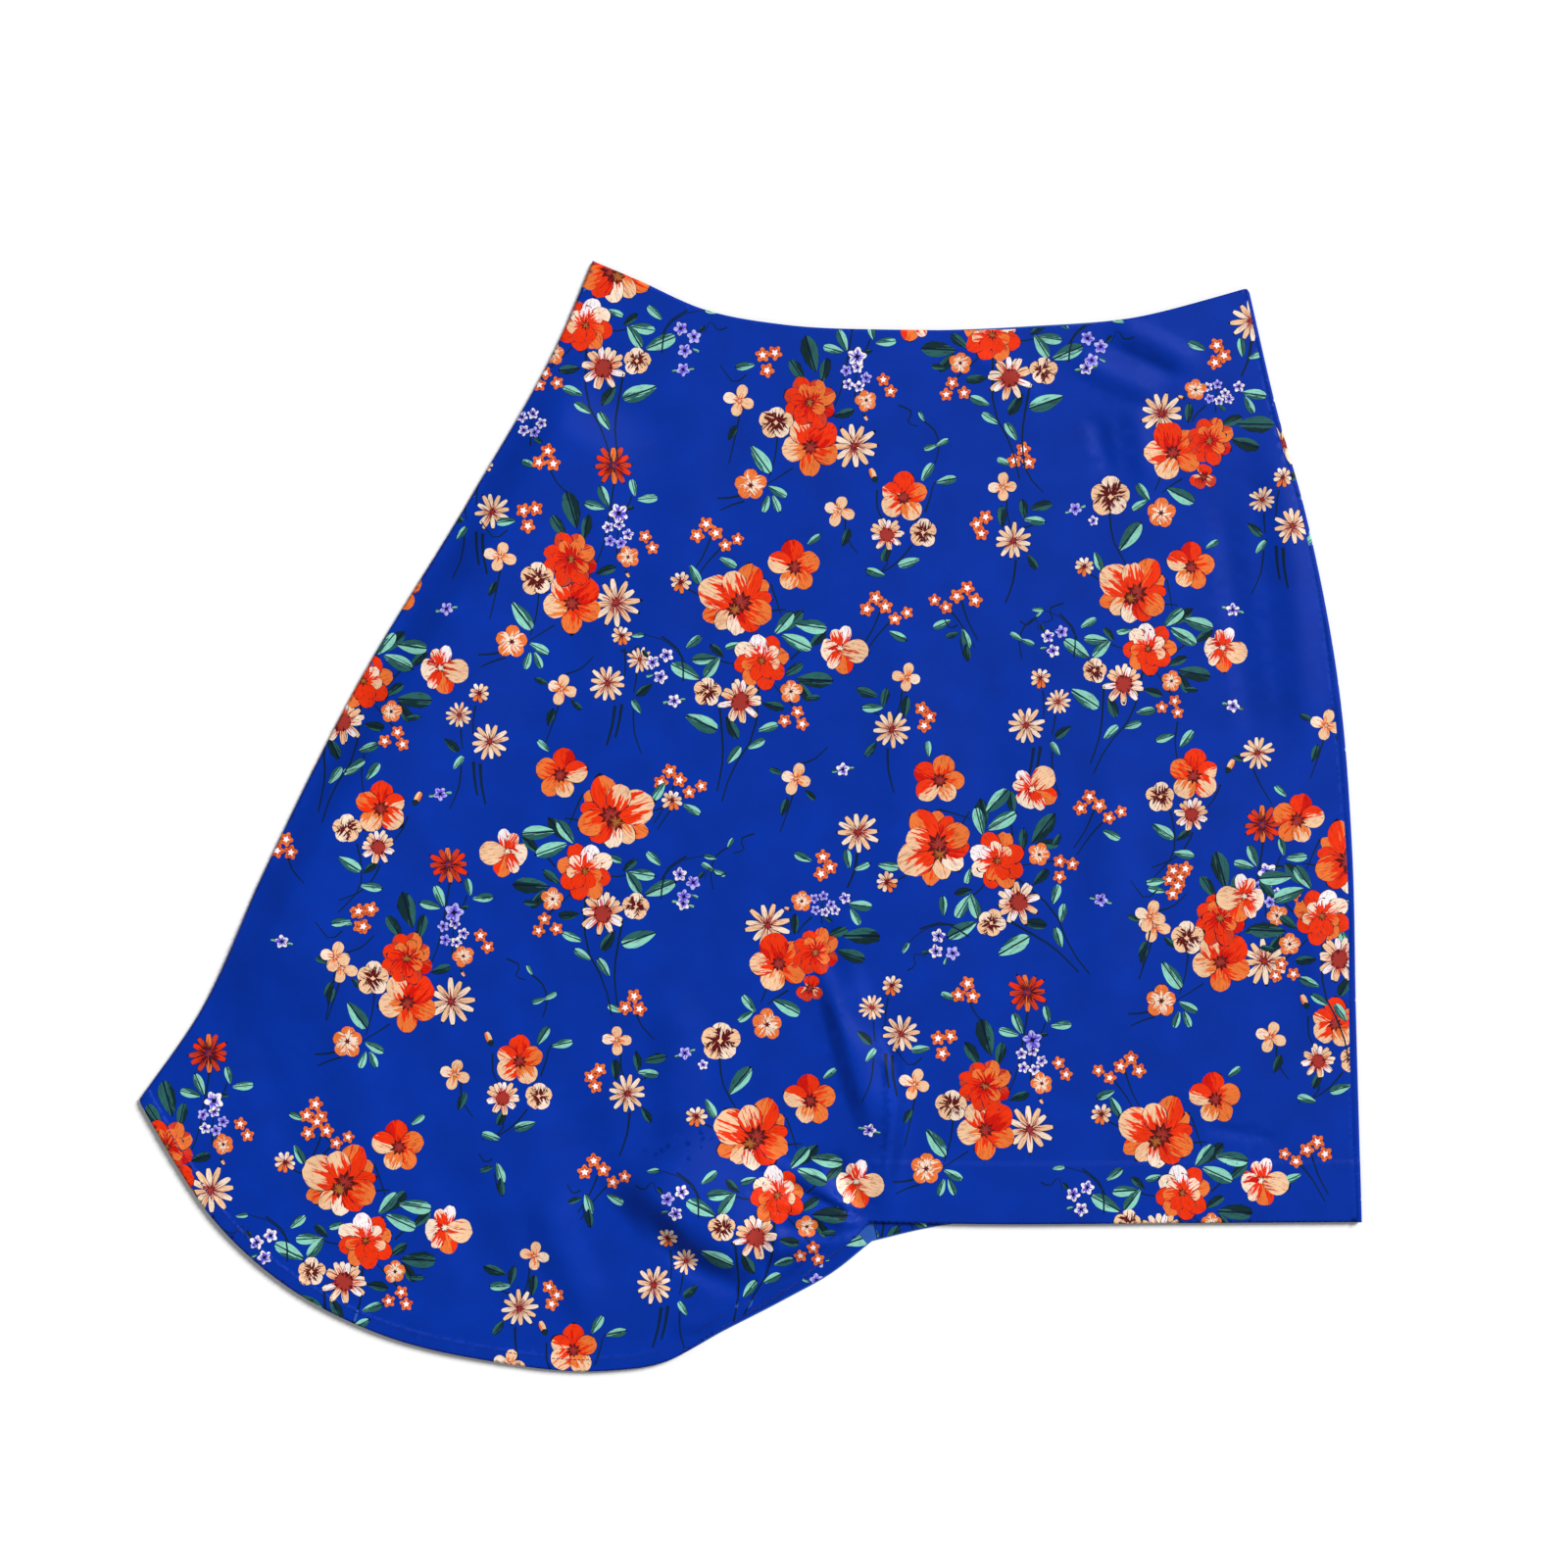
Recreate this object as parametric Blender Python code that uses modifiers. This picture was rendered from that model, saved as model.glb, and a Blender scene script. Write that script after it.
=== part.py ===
"""A printed skirt with a dropped hem gathered into a slash, laid flat with its front up.

The tables hold millimetres in the plan of the laid skirt: x to the right, y towards the
waist, and z up from the surface it lies on. The meshes are built in metres.
"""

import math
from collections import namedtuple

import bmesh
import bpy
import numpy as np

COLLECTION = "asymmetric_skirt"
MM = 0.001

# Layers
CLOTH_WALL = 1.0
LAYER_GAP = 0.3
LAYER_STEP = CLOTH_WALL + LAYER_GAP
BACK_LEVEL = CLOTH_WALL / 2
INNER_LEVEL = BACK_LEVEL + LAYER_STEP
FRONT_LEVEL = INNER_LEVEL + LAYER_STEP

# Hems and facing, as shares of a column from waist to hem
LONG_COLUMN = 600.0
SHORT_COLUMN = 530.0
FACING_DEPTH = 40.0
SHORT_HEM_DEPTH = 35.0
LONG_HEM_DEPTH = 8.0
FACING_SHARE = FACING_DEPTH / SHORT_COLUMN
SHORT_HEM_SHARE = 1 - SHORT_HEM_DEPTH / SHORT_COLUMN
LONG_HEM_SHARE = 1 - LONG_HEM_DEPTH / LONG_COLUMN
SLASH_SHARE = 0.47

# Side edges, where the back's roll meets the front's at a seam
EDGE_INSET = 2.2
INSET_FADE = 0.1
LEFT_SEAM_ANGLE = math.radians(90)
RIGHT_SEAM_ANGLE = math.radians(38)
ROLL_COLUMNS = 3
FRONT_WAIST_DROP = 1.7

Spot = namedtuple("Spot", "x y")
WAIST_LEFT = Spot(-94.0, 328.8)
WAIST_RIGHT = Spot(295.2, 312.9)
HEM_TIP = Spot(-362.4, -167.9)
GATHER = Spot(71.3, -240.4)
HEM_RIGHT = Spot(362.4, -240.4)

WAIST = (
    WAIST_LEFT,
    Spot(-67.3, 317.5),
    Spot(-26.7, 299.6),
    Spot(19.7, 290.9),
    Spot(77.7, 288.0),
    Spot(164.7, 290.3),
    Spot(234.3, 296.7),
    Spot(274.9, 307.1),
    WAIST_RIGHT,
)
LEFT_SIDE = (
    WAIST_LEFT,
    Spot(-112.5, 284.5),
    Spot(-165.9, 189.4),
    Spot(-233.2, 78.0),
    Spot(-288.8, -33.3),
    Spot(-327.1, -116.9),
    HEM_TIP,
)
RIGHT_SIDE = (
    WAIST_RIGHT,
    Spot(310.9, 245.0),
    Spot(330.0, 175.4),
    Spot(348.6, 78.0),
    Spot(356.7, -19.4),
    Spot(359.0, -116.9),
    HEM_RIGHT,
)
LONG_HEM_START = (
    HEM_TIP,
    Spot(-344.5, -199.2),
    Spot(-316.7, -240.4),
    Spot(-273.2, -279.3),
    Spot(-215.2, -308.3),
    Spot(-157.2, -322.2),
    Spot(-84.7, -328.4),
    Spot(-52.8, -323.9),
)
FRONT_LONG_HEM = LONG_HEM_START + (
    Spot(-14.5, -301.9),
    Spot(20.3, -281.6),
    Spot(52.2, -256.6),
    GATHER,
)
BACK_LONG_HEM = LONG_HEM_START + (
    Spot(-14.5, -304.5),
    Spot(20.3, -286.6),
    Spot(48.7, -270.6),
    Spot(72.0, -252.0),
)
FRONT_SHORT_HEM = (GATHER, Spot(135.7, -241.6), Spot(251.7, -241.0), HEM_RIGHT)
BACK_SHORT_HEM = (
    Spot(72.0, -252.0),
    Spot(103.8, -244.5),
    Spot(251.7, -241.0),
    HEM_RIGHT,
)

# Folds as raised ridges along a bend through three spots. The left width is on the left hand
# of someone who walks from start to end, seen from above; fade is the share at each end.
Fold = namedtuple("Fold", "name start middle end height left right fade")
FOLDS = (
    Fold("left side roll", Spot(-106, 262), Spot(-196, 106), Spot(-318, -116), 7.0, 85, 22, 0.12),
    Fold("right side roll", Spot(304, 240), Spot(321, 135), Spot(329, 20), 2.4, 18, 18, 0.3),
    Fold("gather pouch", Spot(-72, -196), Spot(-38, -238), Spot(20, -262), 10.5, 66, 27, 0.3),
    Fold("pouch lip", Spot(0, -254), Spot(36, -252), Spot(70, -237), 6.5, 42, 13, 0.25),
    Fold("hem lip", Spot(-50, -305), Spot(-1, -287), Spot(56, -251), 2.2, 9, 8, 0.2),
    Fold("ridge by the slash", Spot(46, -80), Spot(59, -138), Spot(78, -196), 5.0, 24, 13, 0.3),
    Fold("ridge above the pouch", Spot(-45, -96), Spot(-44, -150), Spot(-39, -212), 2.4, 26, 20, 0.3),
    Fold("ridge to the long hem", Spot(-126, -214), Spot(-111, -260), Spot(-90, -302), 2.4, 20, 18, 0.3),
    Fold("upper waist ridge", Spot(208, 291), Spot(238, 280), Spot(270, 262), 1.8, 12, 11, 0.3),
    Fold("lower waist ridge", Spot(188, 274), Spot(216, 259), Spot(246, 248), 1.8, 11, 12, 0.3),
    Fold("hip ridge", Spot(225, 246), Spot(230, 222), Spot(234, 190), 1.5, 12, 12, 0.3),
    Fold("slash edge", Spot(79, -140), Spot(83, -182), Spot(77, -238), 1.6, 14, 5, 0.15),
)
FOLD_STEPS = 24

Finish = namedtuple("Finish", "colour roughness")
PRINTED_FACE = Finish((0.004, 0.045, 0.46, 1.0), 0.5)
PLAIN_INSIDE = Finish((0.02, 0.09, 0.5, 1.0), 0.6)


def clear_scene():
    """Removes every object that the file starts with."""
    for item in list(bpy.data.objects):
        bpy.data.objects.remove(item, do_unlink=True)


def smooth_curve(spots, share):
    """Points at shares 0 to 1 of the length of a smooth curve through the spots."""
    spots = np.asarray(spots, float)
    chord = np.linalg.norm(np.diff(spots, axis=0), axis=1)
    at = np.concatenate([[0.0], np.cumsum(chord)])
    slope = np.gradient(spots, at, axis=0)
    where = np.asarray(share, float) * at[-1]
    k = np.clip(np.searchsorted(at, where, side="right") - 1, 0, len(chord) - 1)
    t = ((where - at[k]) / chord[k])[:, None]
    run = chord[k][:, None]
    start = (1 + 2 * t) * (1 - t) ** 2 * spots[k] + t * (1 - t) ** 2 * run * slope[k]
    end = t**2 * (3 - 2 * t) * spots[k + 1] - t**2 * (1 - t) * run * slope[k + 1]
    return start + end


def hem_curve(long_part, short_part, share):
    """The whole lower edge: the long part up to the slash, then the short one."""
    share = np.asarray(share, float)
    left = smooth_curve(long_part, np.clip(share / SLASH_SHARE, 0, 1))
    right = smooth_curve(short_part, np.clip((share - SLASH_SHARE) / (1 - SLASH_SHARE), 0, 1))
    return np.where((share <= SLASH_SHARE)[:, None], left, right)


def inward(spots, share, side):
    """Unit vectors in plan from a side edge into the cloth. side is 1 at the left, -1 at the right."""
    step = 0.01
    ahead = smooth_curve(spots, np.clip(share + step, 0, 1))
    behind = smooth_curve(spots, np.clip(share - step, 0, 1))
    along = ahead - behind
    along /= np.linalg.norm(along, axis=1)[:, None]
    return side * np.stack([-along[:, 1], along[:, 0]], axis=1)


def smooth_step(low, high, value):
    """0 below low, 1 above high, with a soft rise between."""
    t = np.clip((value - low) / (high - low), 0, 1)
    return t * t * (3 - 2 * t)


def fold_height(fold, x, y):
    """A ridge whose section is a raised cosine on each side of its crest."""
    start, middle, end = (np.asarray(spot, float) for spot in (fold.start, fold.middle, fold.end))
    control = 2 * middle - (start + end) / 2
    t = np.linspace(0, 1, FOLD_STEPS + 1)
    crest = np.outer((1 - t) ** 2, start) + np.outer(2 * t * (1 - t), control) + np.outer(t**2, end)
    run = np.diff(crest, axis=0)
    place = np.stack([x, y], axis=-1)[..., None, :]
    away = place - crest[:-1]
    share = np.clip((away * run).sum(-1) / (run * run).sum(-1), 0, 1)
    off = away - share[..., None] * run
    distance = np.sqrt((off * off).sum(-1))
    nearest = distance.argmin(-1)[..., None]
    at = (nearest[..., 0] + np.take_along_axis(share, nearest, -1)[..., 0]) / FOLD_STEPS
    turn = run[:, 0] * away[..., 1] - run[:, 1] * away[..., 0]
    on_left = np.take_along_axis(turn, nearest, -1)[..., 0] > 0
    width = np.where(on_left, fold.left, fold.right)
    reach = np.clip(np.take_along_axis(distance, nearest, -1)[..., 0] / width, 0, 1)
    ends = smooth_step(0, fold.fade, at) * smooth_step(0, fold.fade, 1 - at)
    return fold.height * ends * (1 + np.cos(math.pi * reach)) / 2


def plan(u, v, hem):
    """The patch between waist, sides and hem, with its side columns drawn in for the rolls."""
    top = smooth_curve(WAIST, u)[None, :, :]
    bottom = hem_curve(*hem, u)[None, :, :]
    left = smooth_curve(LEFT_SIDE, v)[:, None, :]
    right = smooth_curve(RIGHT_SIDE, v)[:, None, :]
    across = u[None, :, None]
    down = v[:, None, None]
    corners = (
        (1 - across) * (1 - down) * top[:, :1]
        + across * (1 - down) * top[:, -1:]
        + (1 - across) * down * bottom[:, :1]
        + across * down * bottom[:, -1:]
    )
    patch = (1 - down) * top + down * bottom + (1 - across) * left + across * right - corners
    from_left = np.clip(1 - across / INSET_FADE, 0, 1)
    from_right = np.clip(1 - (1 - across) / INSET_FADE, 0, 1)
    patch = patch + EDGE_INSET * from_left * inward(LEFT_SIDE, v, 1)[:, None, :]
    return patch + EDGE_INSET * from_right * inward(RIGHT_SIDE, v, 1)[:, None, :] * -1


def columns():
    """Shares across the waist, close together at the left roll and beside the slash."""
    left = SLASH_SHARE * np.linspace(0, 1, 18) ** 1.25
    right = SLASH_SHARE + (1 - SLASH_SHARE) * np.linspace(0, 1, 20)
    beside = SLASH_SHARE + np.array([-0.007, 0.007])
    return np.unique(np.concatenate([left, right, beside]))


def rows():
    """Shares down a column, closer together towards the gathers, with one at each hem line."""
    facing = np.array([0, FACING_SHARE / 2])
    body = 1 - (1 - np.linspace(0, 1, 28)) ** 1.35
    body = FACING_SHARE + (SHORT_HEM_SHARE - FACING_SHARE) * body
    middle = (SHORT_HEM_SHARE + LONG_HEM_SHARE) / 2
    return np.concatenate([facing, body, [middle, LONG_HEM_SHARE, 1.0]])


def front_grid(u, v):
    """The front's middle surface, raised over its folds and over the turned hems."""
    place = plan(u, v, (FRONT_LONG_HEM, FRONT_SHORT_HEM))
    x, y = place[..., 0], place[..., 1]
    span = np.clip((x - 84) / 168, 0, 1)
    y = y - FRONT_WAIST_DROP * np.sin(math.pi * span) ** 2 * (1 - smooth_step(0, 0.2, v))[:, None]
    row_of_short = smooth_step(SHORT_HEM_SHARE - 0.03, SHORT_HEM_SHARE, v)[:, None]
    row_of_long = smooth_step(LONG_HEM_SHARE - 0.02, LONG_HEM_SHARE, v)[:, None]
    lift = np.where(u[None, :] > SLASH_SHARE, row_of_short, row_of_long) * LAYER_STEP
    z = FRONT_LEVEL + lift + sum(fold_height(fold, x, y) for fold in FOLDS)
    return np.stack([x, y, z], axis=-1)


def back_grid(u, v):
    """The back's middle surface, flat on what it lies on."""
    place = plan(u, v, (BACK_LONG_HEM, BACK_SHORT_HEM))
    return np.concatenate([place, np.full(place.shape[:2] + (1,), BACK_LEVEL)], axis=2)


def moved_out(grid, distance):
    """The same grid moved along its upward normals."""
    across = np.gradient(grid, axis=1)
    down = np.gradient(grid, axis=0)
    normal = np.cross(down, across)
    normal /= np.linalg.norm(normal, axis=2)[..., None]
    return grid + distance * normal


def edge_roll(column, other, outward, seam_angle, is_front):
    """Columns of a side edge bent round towards the other panel, from its flat to the seam."""
    radius = np.abs(column[:, 2] - other[:, 2]) / 2
    centre = (column[:, 2] + other[:, 2]) / 2
    half_gap = LAYER_GAP / 2 / (radius - CLOTH_WALL / 2)
    if is_front:
        start, end = np.zeros_like(radius), seam_angle - half_gap
    else:
        start, end = np.full_like(radius, math.pi), seam_angle + half_gap
    made = []
    for share in np.linspace(0, 1, ROLL_COLUMNS + 1)[1:]:
        angle = start + share * (end - start)
        plan_place = column[:, :2] + outward * (radius * np.sin(angle))[:, None]
        height = centre + radius * np.cos(angle)
        made.append(np.concatenate([plan_place, height[:, None]], axis=1)[:, None, :])
    return made


def with_rolls(grid, other, v, is_front):
    """A panel's grid with its rolled side edges joined on."""
    to_left = -inward(LEFT_SIDE, v, 1)
    to_right = inward(RIGHT_SIDE, v, 1)
    left = edge_roll(grid[:, 0], other[:, 0], to_left, LEFT_SEAM_ANGLE, is_front)
    right = edge_roll(grid[:, -1], other[:, -1], to_right, RIGHT_SEAM_ANGLE, is_front)
    return np.concatenate(left[::-1] + [grid] + right, axis=1)


def material(name, finish):
    """A plain cloth of one colour."""
    made = bpy.data.materials.new(name)
    made.use_nodes = True
    shader = made.node_tree.nodes["Principled BSDF"]
    shader.inputs["Base Color"].default_value = finish.colour
    shader.inputs["Roughness"].default_value = finish.roughness
    shader.inputs["Metallic"].default_value = 0.0
    return made


def cloth(name, grid, finish, holder):
    """A wall of cloth: a grid of cells laid on the points, given its thickness by Solidify."""
    count_down, count_across = grid.shape[0] - 1, grid.shape[1] - 1
    mesh = bpy.data.meshes.new(name)
    bm = bmesh.new()
    bmesh.ops.create_grid(bm, x_segments=count_across, y_segments=count_down, size=0.5)
    for vertex in bm.verts:
        column = round((vertex.co.x + 0.5) * count_across)
        row = round((0.5 - vertex.co.y) * count_down)
        vertex.co = grid[row, column] * MM
    bmesh.ops.recalc_face_normals(bm, faces=bm.faces)
    bm.to_mesh(mesh)
    bm.free()
    mesh.shade_smooth()
    item = bpy.data.objects.new(name, mesh)
    item.data.materials.append(material(name, finish))
    wall = item.modifiers.new("wall", "SOLIDIFY")
    wall.thickness = CLOTH_WALL * MM
    wall.offset = 0.0
    holder.objects.link(item)
    return item


def build():
    """Lays the back, what is turned up inside it, and the front over them."""
    clear_scene()
    holder = bpy.data.collections.new(COLLECTION)
    bpy.context.scene.collection.children.link(holder)
    u, v = columns(), rows()
    front = front_grid(u, v)
    back = back_grid(u, v)
    slash = int(np.argmin(np.abs(u - SLASH_SHARE)))
    short_row = int(np.argmin(np.abs(v - SHORT_HEM_SHARE)))
    long_row = int(np.argmin(np.abs(v - LONG_HEM_SHARE)))
    facing_row = int(np.argmin(np.abs(v - FACING_SHARE)))
    cloth("front_panel", with_rolls(front, back, v, True), PRINTED_FACE, holder)
    cloth("back_panel", with_rolls(back, front, v, False), PRINTED_FACE, holder)
    front_inside = moved_out(front, -LAYER_STEP)
    back_inside = moved_out(back, LAYER_STEP)
    long_columns = slice(0, slash)
    short_columns = slice(slash + 1, None)
    long_rows = slice(long_row, None)
    short_rows = slice(short_row, None)
    cloth("front_long_hem", front_inside[long_rows, long_columns], PLAIN_INSIDE, holder)
    cloth("front_short_hem", front_inside[short_rows, short_columns], PLAIN_INSIDE, holder)
    cloth("back_long_hem", back_inside[long_rows, long_columns], PRINTED_FACE, holder)
    cloth("back_short_hem", back_inside[short_rows, short_columns], PRINTED_FACE, holder)
    cloth("back_waist_facing", back_inside[: facing_row + 1], PRINTED_FACE, holder)


build()
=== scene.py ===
"""The looks of a flower-printed skirt laid flat, its long hem gathered into a slash.

All tables are in millimetres, in the plan of the laid skirt: x to the right, y towards the
waist, z up from the floor. Meshes are made in metres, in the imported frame.
"""

from __future__ import annotations

import logging
import math
from dataclasses import dataclass, field
from enum import Enum
from typing import Callable, Sequence

import bmesh
import bpy
import numpy as np
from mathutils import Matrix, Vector
from mathutils.geometry import delaunay_2d_cdt

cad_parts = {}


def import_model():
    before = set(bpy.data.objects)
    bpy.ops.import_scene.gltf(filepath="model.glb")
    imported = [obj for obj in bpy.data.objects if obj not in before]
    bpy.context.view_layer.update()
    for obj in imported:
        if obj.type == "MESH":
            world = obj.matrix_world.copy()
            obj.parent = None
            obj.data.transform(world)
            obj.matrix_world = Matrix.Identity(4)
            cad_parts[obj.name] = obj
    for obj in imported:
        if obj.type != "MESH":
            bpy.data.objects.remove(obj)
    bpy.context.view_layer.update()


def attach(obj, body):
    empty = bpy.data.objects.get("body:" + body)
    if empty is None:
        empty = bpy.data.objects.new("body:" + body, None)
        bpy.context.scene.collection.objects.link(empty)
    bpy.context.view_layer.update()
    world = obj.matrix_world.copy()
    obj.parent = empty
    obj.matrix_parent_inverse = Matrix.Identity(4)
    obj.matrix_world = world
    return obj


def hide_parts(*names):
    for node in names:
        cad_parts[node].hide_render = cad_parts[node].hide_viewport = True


LOG = logging.getLogger("skirt")
MM = 0.001
Array = np.ndarray
Spots = Sequence[tuple[float, float]]

# The skirt's edges, as the part's source has them
WAIST: Spots = (
    (-94.0, 328.8),
    (-67.3, 317.5),
    (-26.7, 299.6),
    (19.7, 290.9),
    (77.7, 288.0),
    (164.7, 290.3),
    (234.3, 296.7),
    (274.9, 307.1),
    (295.2, 312.9),
)
LEFT_SIDE: Spots = (
    (-94.0, 328.8),
    (-112.5, 284.5),
    (-165.9, 189.4),
    (-233.2, 78.0),
    (-288.8, -33.3),
    (-327.1, -116.9),
    (-362.4, -167.9),
)
RIGHT_SIDE: Spots = (
    (295.2, 312.9),
    (310.9, 245.0),
    (330.0, 175.4),
    (348.6, 78.0),
    (356.7, -19.4),
    (359.0, -116.9),
    (362.4, -240.4),
)
LONG_HEM: Spots = (
    (-362.4, -167.9),
    (-344.5, -199.2),
    (-316.7, -240.4),
    (-273.2, -279.3),
    (-215.2, -308.3),
    (-157.2, -322.2),
    (-84.7, -328.4),
    (-52.8, -323.9),
)
FRONT_LONG_HEM: Spots = (*LONG_HEM, (-14.5, -301.9), (20.3, -281.6), (52.2, -256.6), (71.3, -240.4))
BACK_LONG_HEM: Spots = (*LONG_HEM, (-14.5, -304.5), (20.3, -286.6), (48.7, -270.6), (72.0, -252.0))
FRONT_SHORT_HEM: Spots = ((71.3, -240.4), (135.7, -241.6), (251.7, -241.0), (362.4, -240.4))
BACK_SHORT_HEM: Spots = ((72.0, -252.0), (103.8, -244.5), (251.7, -241.0), (362.4, -240.4))
GATHER_X = 71.3

# Layers, as heights above the floor
CLOTH_WALL = 0.45
BACK_BOTTOM = 0.05
BACK_HEM_BOTTOM = 0.7
FRONT_TOP = 3.6
UNDER_FRONT = 0.6
EDGE_INSET = 0.4

# The flat cut of a panel, across and along, and its area
PANEL_CUT = (725.0, 657.0)
PANEL_AREA = 344000.0

# Hems, facing and seams
FACING_DEPTH = 40.0
SHORT_HEM_DEPTH = 35.0
LONG_HEM_DEPTH = 8.0
HEM_LIFT = 0.7
FRONT_WAIST_DROP = 1.7
SIDE_ROLL = 1.8
EDGE_ROLL = 0.8


def smooth_curve(spots: Spots, share: Array) -> Array:
    """A smooth curve through spots, as a cubic Hermite spline over chord length.

    Args:
        spots: the places that the curve passes through.
        share: shares of its length, from 0 to 1.

    Returns:
        One point a share; slopes at the spots are those of np.gradient.
    """
    places = np.asarray(spots, float)
    chord = np.linalg.norm(np.diff(places, axis=0), axis=1)
    at = np.concatenate([[0.0], np.cumsum(chord)])
    slope = np.gradient(places, at, axis=0)
    where = np.asarray(share, float) * at[-1]
    k = np.clip(np.searchsorted(at, where, side="right") - 1, 0, len(chord) - 1)
    t = ((where - at[k]) / chord[k])[:, None]
    run = chord[k][:, None]
    start = (1 + 2 * t) * (1 - t) ** 2 * places[k] + t * (1 - t) ** 2 * run * slope[k]
    end = t**2 * (3 - 2 * t) * places[k + 1] - t**2 * (1 - t) * run * slope[k + 1]
    return start + end


def smooth_step(low: float, high: float, value: Array) -> Array:
    """0 below low, 1 above high and the cubic 3t² - 2t³ between."""
    t = np.clip((value - low) / (high - low), 0, 1)
    return t * t * (3 - 2 * t)


@dataclass(frozen=True)
class Ridge:
    """A crease raised or sunk along a bend through three spots.

    Its section is a raised cosine, height · (1 + cos(pi · distance / width)) / 2, with its
    own width on each hand of someone walking from start to end, and it fades at both ends.
    """

    name: str
    start: tuple[float, float]
    middle: tuple[float, float]
    end: tuple[float, float]
    height: float
    left: float
    right: float
    fade: float = 0.3
    steps: int = 20

    def rise(self, x: Array, y: Array) -> Array:
        """Its height at each place, 0 outside its reach.

        Args:
            x: places across, in mm.
            y: places towards the waist, in mm.

        Returns:
            Heights in mm, in the shape of x.
        """
        start, middle, end = (np.asarray(s, float) for s in (self.start, self.middle, self.end))
        control = 2 * middle - (start + end) / 2
        t = np.linspace(0, 1, self.steps + 1)
        crest = np.outer((1 - t) ** 2, start) + np.outer(2 * t * (1 - t), control) + np.outer(t**2, end)
        reach = max(self.left, self.right)
        low, high = crest.min(0) - reach, crest.max(0) + reach
        near = (x > low[0]) & (x < high[0]) & (y > low[1]) & (y < high[1])
        out = np.zeros_like(x)
        if not near.any():
            return out
        run = np.diff(crest, axis=0)
        away = np.stack([x[near], y[near]], axis=-1)[:, None, :] - crest[:-1]
        share = np.clip((away * run).sum(-1) / (run * run).sum(-1), 0, 1)
        off = away - share[..., None] * run
        distance = np.sqrt((off * off).sum(-1))
        nearest = distance.argmin(-1)[:, None]
        at = (nearest[:, 0] + np.take_along_axis(share, nearest, -1)[:, 0]) / self.steps
        turn = run[:, 0] * away[..., 1] - run[:, 1] * away[..., 0]
        on_left = np.take_along_axis(turn, nearest, -1)[:, 0] > 0
        width = np.where(on_left, self.left, self.right)
        part = np.clip(np.take_along_axis(distance, nearest, -1)[:, 0] / width, 0, 1)
        ends = smooth_step(0, self.fade, at) * smooth_step(0, self.fade, 1 - at)
        out[near] = self.height * ends * (1 + np.cos(math.pi * part)) / 2
        return out


MAIN_RIDGES: tuple[Ridge, ...] = (
    Ridge("left side roll", (-94, 258), (-189, 94), (-312, -128), 7.2, 78, 25, 0.12),
    Ridge("right side roll", (304, 240), (321, 135), (329, 20), 2.4, 18, 18),
    Ridge("gather pouch", (-72, -196), (-38, -238), (20, -262), 10.5, 66, 27),
    Ridge("pouch lip", (0, -254), (36, -252), (70, -237), 6.5, 42, 13, 0.25),
    Ridge("hem lip", (-50, -305), (-1, -287), (56, -251), 2.2, 9, 8, 0.2),
    Ridge("ridge by the slash", (46, -80), (59, -138), (78, -196), 5.0, 24, 13),
    Ridge("ridge above the pouch", (-45, -96), (-44, -150), (-39, -212), 2.4, 26, 20),
    Ridge("ridge to the long hem", (-126, -214), (-111, -260), (-90, -302), 2.4, 20, 18),
    Ridge("upper waist ridge", (208, 291), (238, 280), (270, 262), 1.8, 12, 11),
    Ridge("lower waist ridge", (188, 274), (216, 259), (246, 248), 1.8, 11, 12),
    Ridge("hip ridge", (225, 246), (230, 222), (234, 190), 1.5, 12, 12),
    Ridge("slash edge", (79, -140), (83, -182), (77, -238), 1.6, 14, 5, 0.15),
)
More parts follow.
